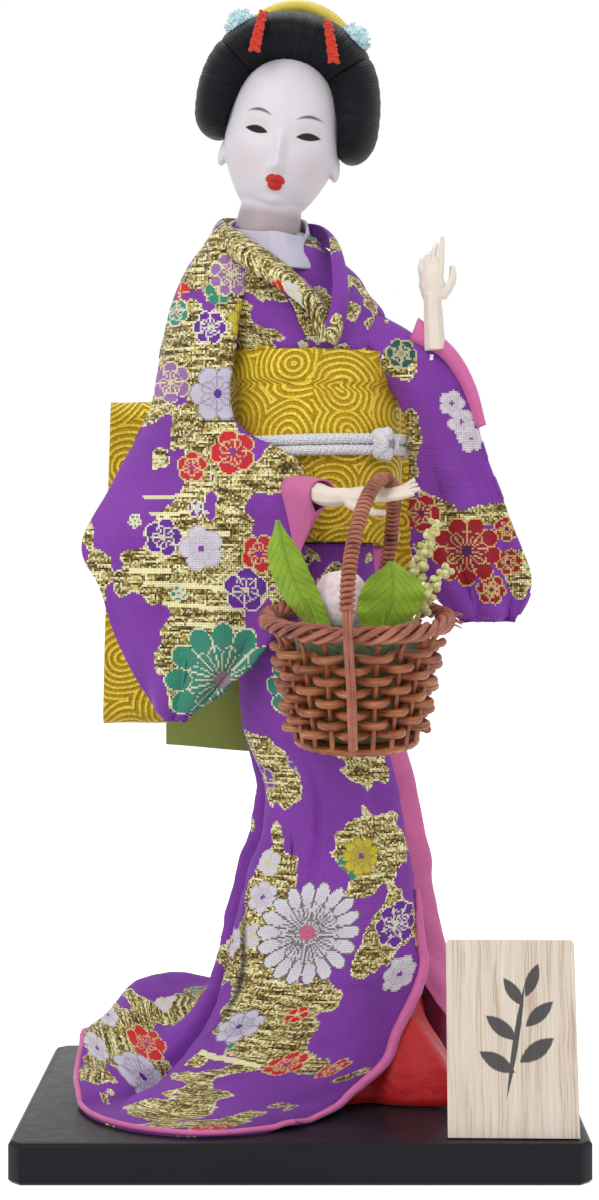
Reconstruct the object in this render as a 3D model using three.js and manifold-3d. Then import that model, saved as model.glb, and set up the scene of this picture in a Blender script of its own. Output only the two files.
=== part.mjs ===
// Standing doll in kimono with a woven basket, on a lacquered board.
// Millimetres, +Z up, the doll faces -Y. The origin is the middle of the board's underside.
import * as THREE from 'three';
import { mergeVertices } from 'three/addons/utils/BufferGeometryUtils.js';
import Module from 'manifold-3d';

const wasm = await Module();
wasm.setup();

// Clearances
const GAP = 0.35;
const CLOTH_GAP = 0.5;
const SEAT = 0.75;

// Board and its rod
const BASE_WIDTH = 145;
const BASE_DEPTH = 105;
const BASE_HEIGHT = 10.4;
const BASE_CORNER = 2.6;
const BASE_BEVEL = 0.8;
const ROD_X = 5;
const ROD_Y = 10;
const ROD_RADIUS = 1.6;
const ROD_TOP = 205;
const SCREW_RADIUS = 0.9;
const SCREW_HEAD_RADIUS = 3;
const SCREW_HEAD_HEIGHT = 1.6;
const SCREW_REACH = 8;

// Plaque
const PLAQUE_WIDTH = 32.8;
const PLAQUE_HEIGHT = 48.3;
const PLAQUE_THICKNESS = 2.6;
const PLAQUE_CORNER = 1.2;
const PLAQUE_INSET = 2.9;
const PLAQUE_LEFT = BASE_WIDTH / 2 - PLAQUE_INSET - PLAQUE_WIDTH;
const PLAQUE_FOOT_Y = -48.2;
const PLAQUE_LEAN = 21;
const PLAQUE_TURN = -1.5;

// Skirts, one inside the other
const WAIST_Z = 158.2;
const CLOTH = 1.1;
const LAYER = CLOTH + CLOTH_GAP;
const HEM_Z = BASE_HEIGHT + GAP;
const TRAIN_REACH = 36;
const UNDER_SKIRT_INSET = 1;

// Sash, its cord and its bow
const CORE_INSET = 2.8;
const CORE_TOP = 242.5;
const BODICE_TOP = 245;
const COLLAR_TOP = 248.4;
const COLLAR_LOW = 233;
const COLLAR_HALF = 3.6;
const COLLAR_FLAT = 0.75;
const OBI_LOW = 158.7;
const OBI_HIGH = 210.4;
const OBI_THICKNESS = 1.6;
const CORD_Z = 185.5;
const CORD_RADIUS = 1.5;
const KNOT_RADIUS = 5;
const KNOT_TUBE = 1.15;
const BOW_WIDTH = 90;
const BOW_HEIGHT = 92;
const BOW_DEPTH = 11;
const BOW_LOW = 106;
const BOW_MID_X = -12.5;
const BOW_FRONT_Y = 34.2;
const BOW_CLOTH = 1.5;
const TAIL_WIDTH = 26;
const TAIL_LOW = 99.5;
const TAIL_HIGH = 150;
const TAIL_MID_X = -26;
const TAIL_FORWARD = 1.4;

// Head, in its own frame, whose origin is the neck's turning point
const HEAD_X = -9.2;
const HEAD_Y = 11;
const HEAD_Z = 246;
const HEAD_ROLL = 9;
const HEAD_YAW = -3;
const SKULL_WIDTH = 32;
const SKULL_DEPTH = 34;
const SKULL_LOW = 3.1;
const SKULL_HIGH = 47;
const NECK_RADIUS = 8.4;
const PEG_RADIUS = 4;
const PEG_LENGTH = 15;
const HAIR_WIDTH = 50;
const HAIR_TOP = 58.4;
const POMPOM_RADIUS = 4.8;

// Basket, in its own frame, whose origin is the middle of its underside
const BASKET_X = 14.3;
const BASKET_Y = -28.7;
const BASKET_Z = 107.1;
const BASKET_TILT = 8;
const BASKET_FOOT_RADIUS = 15.2;
const BASKET_TOP_RADIUS = 20;
const BASKET_HEIGHT = 29;
const BASKET_FLOOR = 2.2;
const STAKES = 19;
const STAKE_RADIUS = 0.65;
const CANE_RADIUS = 0.95;
const WEAVE_ROWS = 8;
const RIM_RADIUS = 24.2;
const RIM_CANE = 1.15;
const RIM_TWISTS = 17;
const RIM_RISE = 3.4;
const HANDLE_TOP = 67.4;
const HANDLE_LEAN_X = 6.5;
const HANDLE_LEAN_Y = 7.4;
const HANDLE_CORE = 0.85;
const WINDING_RADIUS = 0.5;
const WINDING_TURNS = 12;
const WINDING_START = 0.23;
const BUD_RADIUS = 7;
const LEAF_STALK = 8;
const STALK_RADIUS = 0.5;
const SPRAY_RADIUS = 0.7;

const rad = THREE.MathUtils.degToRad;
const vec = (x, y, z) => new THREE.Vector3(x, y, z);

// Shapes from points

// Sorts out the direction of the faces, so that they point outwards
function closedGeometry(points, faces) {
  const geometry = new THREE.BufferGeometry();
  const places = points.flatMap((p) => [p.x, p.y, p.z]);
  geometry.setAttribute('position', new THREE.Float32BufferAttribute(places, 3));
  let volume = 0;
  for (const [a, b, c] of faces) {
    volume += points[a].dot(points[b].clone().cross(points[c]));
  }
  const turned = volume < 0 ? faces.map(([a, b, c]) => [a, c, b]) : faces;
  geometry.setIndex(turned.flat());
  return geometry;
}

// A sheet with a thickness: place(u, v, side) gives its front at side 1 and its back at side -1
function sheetGeometry(place, across, along, ring = false) {
  const points = [];
  const faces = [];
  const columns = ring ? across : across + 1;
  for (const side of [1, -1]) {
    for (let j = 0; j <= along; j += 1) {
      for (let i = 0; i < columns; i += 1) {
        points.push(place(i / across, j / along, side));
      }
    }
  }
  const back = columns * (along + 1);
  const at = (i, j) => j * columns + (ring ? i % across : i);
  const quad = (a, b, c, d) => faces.push([a, b, c], [a, c, d]);
  for (let j = 0; j < along; j += 1) {
    for (let i = 0; i < across; i += 1) {
      quad(at(i, j), at(i + 1, j), at(i + 1, j + 1), at(i, j + 1));
      quad(back + at(i, j), back + at(i, j + 1), back + at(i + 1, j + 1), back + at(i + 1, j));
    }
    if (!ring) {
      quad(at(0, j), at(0, j + 1), back + at(0, j + 1), back + at(0, j));
      quad(at(across, j), back + at(across, j), back + at(across, j + 1), at(across, j + 1));
    }
  }
  for (let i = 0; i < across; i += 1) {
    quad(at(i, 0), back + at(i, 0), back + at(i + 1, 0), at(i + 1, 0));
    quad(at(i, along), at(i + 1, along), back + at(i + 1, along), back + at(i, along));
  }
  return closedGeometry(points, faces);
}

// A sheet laid on both sides of a middle surface, half as thick each way
function cushionGeometry(middle, half, across, along) {
  const step = 0.004;
  const place = (u, v, side) => {
    const here = middle(u, v);
    const du = middle(Math.min(u + step, 1), v).sub(middle(Math.max(u - step, 0), v));
    const dv = middle(u, Math.min(v + step, 1)).sub(middle(u, Math.max(v - step, 0)));
    return here.addScaledVector(du.cross(dv).normalize(), side * half(u, v));
  };
  return sheetGeometry(place, across, along);
}

// A round bar along a path, with its own radius at each place
function barGeometry(points, radiusAt, sides, flat = 1) {
  const all = [];
  const faces = [];
  const last = points.length - 1;
  let across = null;
  points.forEach((point, k) => {
    const ahead = points[Math.min(k + 1, last)].clone().sub(points[Math.max(k - 1, 0)]).normalize();
    if (across === null) {
      across = Math.abs(ahead.z) < 0.9 ? vec(0, 0, 1) : vec(1, 0, 0);
    }
    across = across.clone().addScaledVector(ahead, -across.dot(ahead)).normalize();
    const beside = ahead.clone().cross(across);
    for (let i = 0; i < sides; i += 1) {
      const angle = (2 * Math.PI * i) / sides;
      const radius = radiusAt(k / last);
      const rim = point.clone().addScaledVector(across, radius * flat * Math.cos(angle));
      all.push(rim.addScaledVector(beside, radius * Math.sin(angle)));
    }
  });
  for (let k = 0; k < last; k += 1) {
    for (let i = 0; i < sides; i += 1) {
      const a = k * sides + i;
      const b = k * sides + ((i + 1) % sides);
      faces.push([a, b, b + sides], [a, b + sides, a + sides]);
    }
  }
  for (let i = 1; i < sides - 1; i += 1) {
    faces.push([0, i + 1, i], [last * sides, last * sides + i, last * sides + i + 1]);
  }
  return closedGeometry(all, faces);
}

// A closed ring of cane along a path that ends where it starts
function loopGeometry(points, radius, sides, upright) {
  const all = [];
  const faces = [];
  const count = points.length;
  points.forEach((point, k) => {
    const ahead = points[(k + 1) % count].clone().sub(points[(k + count - 1) % count]).normalize();
    const across = upright(point).addScaledVector(ahead, -upright(point).dot(ahead)).normalize();
    const beside = ahead.clone().cross(across);
    for (let i = 0; i < sides; i += 1) {
      const angle = (2 * Math.PI * (i + 0.5)) / sides;
      const rim = point.clone().addScaledVector(across, radius * Math.cos(angle));
      all.push(rim.addScaledVector(beside, radius * Math.sin(angle)));
    }
  });
  for (let k = 0; k < count; k += 1) {
    for (let i = 0; i < sides; i += 1) {
      const next = ((k + 1) % count) * sides;
      const a = k * sides + i;
      const b = k * sides + ((i + 1) % sides);
      faces.push([a, b, next + ((i + 1) % sides)], [a, next + ((i + 1) % sides), next + i]);
    }
  }
  return closedGeometry(all, faces);
}

const curveThrough = (list) => new THREE.CatmullRomCurve3(list.map((p) => vec(...p)), false, 'centripetal');
const spread = (curve, steps) => curve.getPoints(steps);

// Reads a size at a height from a list of keys, the first value of each key being the height
function atHeight(keys, height) {
  let k = 0;
  while (k < keys.length - 2 && height < keys[k + 1][0]) {
    k += 1;
  }
  const [high, low] = [keys[k], keys[k + 1]];
  const share = THREE.MathUtils.clamp((high[0] - height) / (high[0] - low[0]), 0, 1);
  const eased = 0.5 * share + 0.5 * share * share * (3 - 2 * share);
  return high.map((value, i) => value + (low[i] - value) * eased);
}

// A round form built up from oval sections
function loftGeometry(keys, offset, top, bottom, sides, rings, rise = 0) {
  const points = [];
  const faces = [];
  for (let j = 0; j <= rings; j += 1) {
    const z = top + ((bottom - top) * j) / rings;
    const [, cx, cy, rx, ry] = atHeight(keys, z);
    for (let i = 0; i < sides; i += 1) {
      const angle = (2 * Math.PI * i) / sides;
      const end = j === 0 ? rise : (j === rings ? -rise : 0);
      points.push(vec(cx + (rx + offset) * Math.sin(angle), cy - (ry + offset) * Math.cos(angle), z + end));
    }
  }
  for (let j = 0; j < rings; j += 1) {
    for (let i = 0; i < sides; i += 1) {
      const a = j * sides + i;
      const b = j * sides + ((i + 1) % sides);
      faces.push([a, b, b + sides], [a, b + sides, a + sides]);
    }
  }
  for (let i = 1; i < sides - 1; i += 1) {
    faces.push([0, i + 1, i], [rings * sides, rings * sides + i, rings * sides + i + 1]);
  }
  return closedGeometry(points, faces);
}

// An egg-shaped form, turned and placed
function eggGeometry(size, place, turn = [0, 0, 0], grow = 0, segments = [12, 8]) {
  const geometry = new THREE.SphereGeometry(1, ...segments);
  geometry.rotateX(Math.PI / 2);
  geometry.scale(size[0] + grow, size[1] + grow, size[2] + grow);
  geometry.applyMatrix4(new THREE.Matrix4().makeRotationFromEuler(new THREE.Euler(...turn.map(rad))));
  return geometry.translate(...place);
}

// Joins and cuts

function solid(geometry) {
  const bare = geometry.clone();
  bare.deleteAttribute('normal');
  bare.deleteAttribute('uv');
  const merged = mergeVertices(bare, 1e-4);
  const vertProperties = new Float32Array(merged.attributes.position.array);
  const triVerts = new Uint32Array(merged.index.array);
  return new wasm.Manifold(new wasm.Mesh({ numProp: 3, vertProperties, triVerts }));
}

function geometryOf(body) {
  const mesh = body.getMesh();
  const geometry = new THREE.BufferGeometry();
  geometry.setAttribute('position', new THREE.BufferAttribute(new Float32Array(mesh.vertProperties), 3));
  geometry.setIndex(new THREE.BufferAttribute(new Uint32Array(mesh.triVerts), 1));
  geometry.computeVertexNormals();
  return geometry;
}

const joined = (list) => list.reduce((body, next) => body.add(next));
const cut = (body, ...tools) => tools.reduce((rest, tool) => rest.subtract(tool), body);

// Keeps the largest body where a cut leaves crumbs
function largest(body) {
  const parts = body.decompose();
  return parts.reduce((best, next) => (next.volume() > best.volume() ? next : best));
}

function leastSelfGap(points, radius, skip) {
  let least = Infinity;
  for (let i = 0; i < points.length; i += 1) {
    for (let j = i + skip; j < points.length; j += 1) {
      least = Math.min(least, points[i].distanceTo(points[j]) - 2 * radius);
    }
  }
  return least.toFixed(2);
}

// Materials

const looks = {
  lacquer: [0x23212a, 0.3, 0],
  steel: [0x9a9ca0, 0.35, 0.9],
  paleWood: [0xe6d7c8, 0.7, 0],
  padding: [0xd8cfc0, 0.95, 0],
  sock: [0xf2f2f4, 0.8, 0],
  redSatin: [0xc41418, 0.4, 0],
  pinkSatin: [0xdc6eaf, 0.45, 0],
  brocade: [0x7d3caa, 0.6, 0.1],
  paleCloth: [0xe6e2f0, 0.8, 0],
  goldBrocade: [0xd7aa14, 0.5, 0.2],
  greenLining: [0x9aa64a, 0.7, 0],
  cord: [0xf4f4f8, 0.85, 0],
  porcelain: [0xebe4eb, 0.35, 0],
  skin: [0xfaebdc, 0.45, 0],
  hair: [0x121418, 0.35, 0],
  band: [0xebd75a, 0.5, 0.2],
  redRibbon: [0xd8321e, 0.7, 0],
  fluff: [0xc8ebf0, 0.95, 0],
  cane: [0xaa5a32, 0.55, 0],
  foam: [0x5a7a4a, 0.95, 0],
  leaf: [0x96b91e, 0.55, 0],
  bud: [0xf4dce4, 0.8, 0],
  blossom: [0xe6e28c, 0.85, 0],
};

function mesh(name, shape, look) {
  const [color, roughness, metalness] = looks[look];
  const geometry = shape.isBufferGeometry ? shape : geometryOf(shape);
  const part = new THREE.Mesh(geometry, new THREE.MeshStandardMaterial({ color, roughness, metalness }));
  part.name = name;
  return part;
}

// Stand

function discGeometry(radius, low, high, sides = 12) {
  const profile = [[0, low], [radius, low], [radius, high], [0, high]].map((p) => new THREE.Vector2(...p));
  return new THREE.LatheGeometry(profile, sides).rotateX(Math.PI / 2);
}

function cornerShape(width, depth, corner) {
  const [w, d] = [width / 2, depth / 2];
  const shape = new THREE.Shape();
  const corners = [[w - corner, -d], [w, corner - d], [w, d - corner], [w - corner, d]];
  const rest = [[corner - w, d], [-w, d - corner], [-w, corner - d], [corner - w, -d]];
  shape.setFromPoints([...corners, ...rest].map((p) => new THREE.Vector2(...p)));
  return shape;
}

function basePlinth() {
  const inner = cornerShape(BASE_WIDTH - 2 * BASE_BEVEL, BASE_DEPTH - 2 * BASE_BEVEL, BASE_CORNER);
  const board = new THREE.ExtrudeGeometry(inner, {
    depth: BASE_HEIGHT - 2 * BASE_BEVEL,
    bevelThickness: BASE_BEVEL,
    bevelSize: BASE_BEVEL,
    bevelSegments: 1,
  }).translate(0, 0, BASE_BEVEL);
  const shankHole = discGeometry(SCREW_RADIUS + GAP, -1, BASE_HEIGHT + 1).translate(ROD_X, ROD_Y, 0);
  const headHole = discGeometry(SCREW_HEAD_RADIUS + GAP, -1, SCREW_HEAD_HEIGHT + 2 * GAP);
  return cut(solid(board), solid(shankHole), solid(headHole.translate(ROD_X, ROD_Y, 0)));
}

function rodScrew() {
  const head = discGeometry(SCREW_HEAD_RADIUS, GAP, GAP + SCREW_HEAD_HEIGHT);
  const shank = discGeometry(SCREW_RADIUS, GAP + SCREW_HEAD_HEIGHT / 2, BASE_HEIGHT + SCREW_REACH);
  return joined([solid(head), solid(shank)]).translate([ROD_X, ROD_Y, 0]);
}

function supportRod() {
  const rod = discGeometry(ROD_RADIUS, BASE_HEIGHT + GAP, ROD_TOP);
  const bore = discGeometry(SCREW_RADIUS + GAP, 0, BASE_HEIGHT + SCREW_REACH + GAP);
  return cut(solid(rod), solid(bore)).translate([ROD_X, ROD_Y, 0]);
}

// The foot is cut at the lean, so the plaque stands on it
function plaque() {
  const shape = new THREE.Shape();
  const [w, h, r] = [PLAQUE_WIDTH / 2, PLAQUE_HEIGHT, PLAQUE_CORNER];
  const low = -PLAQUE_THICKNESS * Math.tan(rad(PLAQUE_LEAN)) - 1;
  shape.moveTo(-w, low);
  shape.lineTo(-w, h - r);
  shape.absarc(-w + r, h - r, r, Math.PI, Math.PI / 2, true);
  shape.absarc(w - r, h - r, r, Math.PI / 2, 0, true);
  shape.lineTo(w, low);
  const settings = { depth: PLAQUE_THICKNESS, bevelEnabled: false, curveSegments: 5 };
  const board = new THREE.ExtrudeGeometry(shape, settings);
  const up = [0, -Math.sin(rad(PLAQUE_LEAN)), Math.cos(rad(PLAQUE_LEAN))];
  return solid(board.rotateX(Math.PI / 2)).trimByPlane(up, 0);
}

// Body and skirts. A key holds the height, the middle in X and Y and the half widths in X and Y.

const skirtKeys = [
  [WAIST_Z, 3, 12, 20.6, 15],
  [135, 3.2, 12, 21.4, 16],
  [108, 3.5, 12, 20.5, 15.6],
  [91, 8, 10.5, 19, 15],
  [79, 8.5, 9.5, 20.5, 15.5],
  [69, 7.5, 8.5, 23.5, 17],
  [55, 6.3, 7.5, 26.3, 19],
  [41, 6, 7, 29, 21],
  [HEM_Z, 6, 6, 33, 25],
];

const torsoKeys = [
  [BODICE_TOP, -10.5, 11.5, 9, 7],
  [241, -11, 11.5, 16, 10],
  [236, -9.5, 12, 20.5, 12],
  [229, -7, 12, 24.5, 13.5],
  [221, -2, 12, 25, 14.5],
  [211, 2, 12, 23, 15.5],
  [205, 3, 12, 21.6, 15.5],
  [OBI_LOW, 3, 12, 21.6, 15.5],
];

// A smooth hump of height 1 at an angle, in degrees, that dies away on both sides
function hump(angle, middle, half) {
  const away = Math.abs(THREE.MathUtils.euclideanModulo(angle - middle + 180, 360) - 180) / half;
  return away >= 1 ? 0 : 0.5 + 0.5 * Math.cos(Math.PI * away);
}

// Angles round the skirts run from the front, 0, towards +X, 90, in degrees
function columnPoint(angle, z, offset) {
  const [, cx, cy, rx, ry] = atHeight(skirtKeys, z);
  const pleat = 0.7 * Math.sin(rad(6 * angle + z)) * THREE.MathUtils.smoothstep(150 - z, 0, 60);
  const [a, grow] = [rad(angle), offset + pleat];
  return vec(cx + (rx + grow) * Math.sin(a), cy - (ry + grow) * Math.cos(a), z);
}

// Brocade skirt: its free edge swings from the right side down to the tip of the train
const TRAIN_START = 46;
const SKIRT_BACK_EDGE = -218;

function freeEdge(z) {
  return atHeight([[WAIST_Z, 52], [108, 60], [69, 74], [46, 66], [30, 34], [18, 8], [HEM_Z, -8]], z)[1];
}

function trainPoint(angle, share) {
  const front = hump(angle, -38, 58);
  const side = hump(angle, -95, 62);
  const behind = hump(angle, -150, 60);
  const reach = 3 + TRAIN_REACH * (0.9 * front + 0.85 * side + 0.3 * behind);
  const a = rad(angle);
  const spreadShare = share ** 1.7;
  const roll = 20 * hump(angle, -122, 54) * Math.sin(Math.PI * share ** 2.2);
  const lip = 11 * hump(angle, -100, 30) * share ** 3;
  const valley = 3 * hump(angle, -66, 16) * Math.sin(Math.PI * share);
  const fall = (TRAIN_START - HEM_Z) * (1 - (1 - share) ** 1.55);
  const top = columnPoint(angle, TRAIN_START - fall, 0);
  const z = Math.max(TRAIN_START - fall + roll + lip - valley, HEM_Z);
  return vec(top.x + reach * spreadShare * Math.sin(a), top.y - reach * spreadShare * 1.05 * Math.cos(a), z);
}

function kimonoPoint(u, v) {
  const columnShare = 0.62;
  const onColumn = v <= columnShare;
  const z = onColumn
    ? WAIST_Z + ((TRAIN_START - WAIST_Z) * v) / columnShare
    : TRAIN_START + ((HEM_Z - TRAIN_START) * (v - columnShare)) / (1 - columnShare);
  const angle = freeEdge(z) + (SKIRT_BACK_EDGE - freeEdge(z)) * u;
  return onColumn ? columnPoint(angle, z, 0) : trainPoint(angle, (v - columnShare) / (1 - columnShare));
}

// A positive thickness grows inwards and a negative one outwards
function thickenedSheet(point, thickness, across, along, floor) {
  const step = 0.004;
  const place = (u, v, side) => {
    const here = point(u, v);
    if (side === 1) {
      return here;
    }
    const du = point(Math.min(u + step, 1), v).sub(point(Math.max(u - step, 0), v));
    const dv = point(u, Math.min(v + step, 1)).sub(point(u, Math.max(v - step, 0)));
    const inner = here.addScaledVector(du.cross(dv).normalize(), -thickness);
    inner.z = Math.max(inner.z, floor);
    return inner;
  };
  return sheetGeometry(place, across, along);
}

// Pink layer: a panel on the right that flares out past the brocade. Keys hold the height and a value.
const LINING_EDGE = [[WAIST_Z, 24], [80, 36], [52, 60], [32, 80], [HEM_Z, 92]];
const LINING_FLARE = [
  [WAIST_Z, 1], [135, 3.5], [108, 6], [91, 8], [69, 12], [54, 16], [40, 11], [26, 5], [HEM_Z, 3],
];

function liningPoint(u, v) {
  const z = WAIST_Z - 1 + (HEM_Z + 3 - WAIST_Z) * v;
  const angle = THREE.MathUtils.lerp(196, atHeight(LINING_EDGE, z)[1], u);
  const edge = freeEdge(z + 12);
  const shown = THREE.MathUtils.smoothstep(angle, edge + 5, edge + 28);
  const swell = atHeight(LINING_FLARE, z)[1] * hump(angle, 76, 46) * shown;
  const a = rad(angle);
  return columnPoint(angle, z, -LAYER).add(vec(swell * Math.sin(a), -0.75 * swell * Math.cos(a), 0));
}

function underSkirtPoint(u, v) {
  const z = WAIST_Z - 1 + (HEM_Z - WAIST_Z + 1) * v;
  const flare = 3.4 * hump(360 * u, 60, 60) * THREE.MathUtils.smoothstep(60 - z, 0, 50);
  const folds = 1.1 * Math.sin(rad(9 * 360 * u)) * THREE.MathUtils.smoothstep(70 - z, 0, 60);
  return columnPoint(360 * u, z, -2 * LAYER + flare * 0.4 + folds * 0.5 - UNDER_SKIRT_INSET);
}

function ringSheet(point, thickness, across, along) {
  const place = (u, v, side) => {
    const here = point(u, v);
    if (side === -1) {
      const [, cx, cy] = atHeight(skirtKeys, here.z);
      const inward = vec(cx - here.x, cy - here.y, 0).normalize();
      here.addScaledVector(inward, thickness);
    }
    return here;
  };
  return sheetGeometry(place, across, along, true);
}

const rodHole = solid(discGeometry(ROD_RADIUS + GAP, 0, ROD_TOP + GAP).translate(ROD_X, ROD_Y, 0));

// Feet

const FEET = { foot_left: [33, -9, -12], foot_right: [12, -9, 4] };

function foot(x, y, turn, grow = 0) {
  const sock = eggGeometry([4.2, 10, 3.4], [0, 3, 0], [0, 0, 0], grow, [8, 5]);
  const toe = eggGeometry([1.5, 4.5, 2], [-2.6, -5, -0.4], [0, 0, 8], grow, [6, 4]);
  const heel = barGeometry(spread(curveThrough([[0, 8, 0], [-1, 8, 8]]), 3), () => 3.2 + grow, 10);
  const whole = joined([sock, toe, heel].map(solid));
  const placed = whole.rotate([0, 0, turn]).translate([x, y, HEM_Z + 2.4]);
  return placed.trimByPlane([0, 0, 1], HEM_Z - grow);
}

// Sash

const obiSection = (offset) => loftGeometry(torsoKeys, offset, OBI_HIGH, OBI_LOW, 32, 4);
const OBI_OUT = OBI_THICKNESS + CLOTH_GAP;

function obiRing(out, low, high, sides = 28) {
  const [, cx, cy, rx, ry] = torsoKeys[torsoKeys.length - 1];
  const points = [];
  for (let i = 0; i < sides; i += 1) {
    const angle = (2 * Math.PI * i) / sides;
    points.push(new THREE.Vector2(cx + (rx + out) * Math.sin(angle), cy - (ry + out) * Math.cos(angle)));
  }
  const shape = new THREE.Shape().setFromPoints(points);
  return new THREE.ExtrudeGeometry(shape, { depth: high - low, bevelEnabled: false }).translate(0, 0, low);
}

// The sash bulges a little at mid height and has a fold line near its top
function obi() {
  const [, cx, cy, rx, ry] = torsoKeys[torsoKeys.length - 1];
  const place = (u, v, side) => {
    const angle = 2 * Math.PI * u;
    const belly = 0.5 * Math.sin(Math.PI * v) - 0.35 * hump(360 * v, 66, 14);
    const out = side === 1 ? OBI_OUT + belly : CLOTH_GAP;
    const z = OBI_HIGH + (OBI_LOW - OBI_HIGH) * v;
    return vec(cx + (rx + out) * Math.sin(angle), cy - (ry + out) * Math.cos(angle), z);
  };
  return sheetGeometry(place, 26, 3, true);
}

const KNOT_SIDE = 44;
const knotAngle = rad(KNOT_SIDE);

function ovalPoint(angle, out, z) {
  const [, cx, cy, rx, ry] = torsoKeys[torsoKeys.length - 1];
  return vec(cx + (rx + out) * Math.sin(angle), cy - (ry + out) * Math.cos(angle), z);
}

const OBI_FACE = OBI_OUT + 0.5 + GAP;
const knotPlace = ovalPoint(knotAngle, OBI_FACE + 3, CORD_Z + 1.5);

function knotSeat() {
  return solid(eggGeometry([KNOT_RADIUS, KNOT_RADIUS, KNOT_RADIUS], knotPlace.toArray(), [0, 0, 0], GAP));
}

// Two strands side by side, joined where they touch
function obiCord() {
  const section = [];
  for (const strand of [1, -1]) {
    for (let i = 0; i < 4; i += 1) {
      const angle = Math.PI * (i / 3 - 0.5) * 0.9 + (strand === 1 ? 0 : Math.PI);
      const up = strand * CORD_RADIUS * 0.9 + CORD_RADIUS * Math.cos(angle);
      section.push([CORD_RADIUS * Math.sin(angle), up]);
    }
  }
  const points = [];
  const faces = [];
  const turns = 20;
  const count = section.length;
  for (let k = 0; k < turns; k += 1) {
    const angle = (2 * Math.PI * k) / turns;
    const rise = 1.6 * Math.cos(angle - knotAngle);
    for (const [out, up] of section) {
      points.push(ovalPoint(angle, OBI_FACE + CORD_RADIUS + out, CORD_Z + up + rise));
    }
    for (let i = 0; i < count; i += 1) {
      const next = ((k + 1) % turns) * count;
      const [a, b] = [k * count + i, k * count + ((i + 1) % count)];
      faces.push([a, b, next + ((i + 1) % count)], [a, next + ((i + 1) % count), next + i]);
    }
  }
  return largest(cut(solid(closedGeometry(points, faces)), knotSeat()));
}

function obiKnot() {
  const turns = new THREE.TorusKnotGeometry(KNOT_RADIUS * 0.56, KNOT_TUBE, 28, 5, 2, 3);
  turns.rotateY(Math.PI / 2).rotateZ(knotAngle - Math.PI / 2).translate(...knotPlace);
  return largest(cut(solid(turns), solid(obiRing(OBI_FACE, OBI_LOW, OBI_HIGH))));
}

// The bow is one wide strip folded into a hanging loop, open at both sides
function bowSection(inset, steps) {
  const points = [];
  const [half, radius] = [BOW_HEIGHT / 2, BOW_DEPTH / 2 - inset];
  for (const end of [1, -1]) {
    for (let i = 0; i <= steps; i += 1) {
      const angle = Math.PI * (i / steps) + (end === 1 ? 0 : Math.PI);
      points.push([radius * Math.cos(angle), end * (half - BOW_DEPTH / 2) + radius * Math.sin(angle)]);
    }
  }
  return points;
}

function obiBow() {
  const along = 6;
  const outer = bowSection(0, 4);
  const inner = bowSection(BOW_CLOTH, 4);
  const place = (u, v, side) => {
    const share = v - 0.5;
    const index = Math.round(u * outer.length) % outer.length;
    const [y, z] = side === 1 ? outer[index] : inner[index];
    const sag = 3.4 * share * share * 4;
    const sweep = 6 * share * share * 4 * (z > 0 ? -0.2 : 0.15);
    const x = BOW_MID_X + BOW_WIDTH * share * (1 - 0.05 * (z / BOW_HEIGHT + 0.5));
    return vec(x, BOW_FRONT_Y + BOW_DEPTH / 2 + y + sag * 0.6, BOW_LOW + BOW_HEIGHT / 2 + z - sweep);
  };
  return sheetGeometry(place, outer.length, along, true);
}

function obiTail() {
  const place = (u, v) => {
    const x = TAIL_MID_X + TAIL_WIDTH * (u - 0.5);
    const slant = 2.2 * (u - 0.5);
    const z = TAIL_HIGH + (TAIL_LOW - TAIL_HIGH) * v - slant * v;
    return vec(x, BOW_FRONT_Y - TAIL_FORWARD + 0.3 * Math.sin(7 * u), z);
  };
  return cushionGeometry(place, () => 0.5, 4, 4);
}

function obiPad() {
  const pad = eggGeometry([15, 6, 5], [3, BOW_FRONT_Y - 1, 196], [0, 0, 0], 0, [12, 8]);
  const bow = solid(new THREE.BoxGeometry(BOW_WIDTH * 2, BOW_DEPTH * 2, BOW_HEIGHT * 2));
  const wall = bow.translate([0, BOW_FRONT_Y + BOW_DEPTH - GAP, BOW_LOW]);
  return cut(solid(pad), solid(obiRing(OBI_FACE, OBI_LOW, OBI_HIGH)), wall);
}

// Arms: a bent wire runs from the chest to each wrist

const wirePaths = {
  right: [[-14, 12, 226], [-27, 12, 224], [-37, 9, 203], [-22, -5, 183], [0, -15, 171.6], [3.4, -20.4, 171]],
  left: [[3, 12, 216], [16, 9, 215.5], [26.5, 5, 212], [31, 2, 202], [33.5, -0.5, 198], [34.8, -1.9, 209]],
};
const WIRE_RADIUS = 0.8;

function armWire(side, grow = 0) {
  return solid(barGeometry(spread(curveThrough(wirePaths[side]), 12), () => WIRE_RADIUS + grow, 5));
}

// A sleeve hangs between its outer and inner outline and swells in the middle

const sleeveOutlines = {
  right: [
    [[-26, 14, 240], [-33.5, 14, 229], [-38.5, 13, 213], [-41, 11, 197], [-51, 8, 176], [-60, 4, 157],
      [-55, 2, 146], [-51, 0, 134], [-45, -2, 122], [-37, -4, 110.5]],
    [[-12, 3, 239], [-15, 0, 229], [-18, -3, 212], [-18, -6, 191], [0.5, -13, 178.5], [-1, -13, 168],
      [1, -10, 152], [-5, -7, 138], [-13, -6, 126], [-32, -4, 110.5]],
  ],
  left: [
    [[8, 10, 213], [18, 7, 205], [26.5, 5, 196], [29, 5, 183], [29, 4, 170], [30, 3, 157], [34, 1, 146],
      [43, -1, 137]],
    [[11, 12, 229], [21, 8, 221], [31, 1, 214], [43, -2, 202], [49.5, -3, 182], [56.5, -3, 163],
      [61.5, -3, 147], [57, -3, 137]],
  ],
};
const sleeveSwell = { right: [6.5, 2.2], left: [6, 2.2] };

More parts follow.
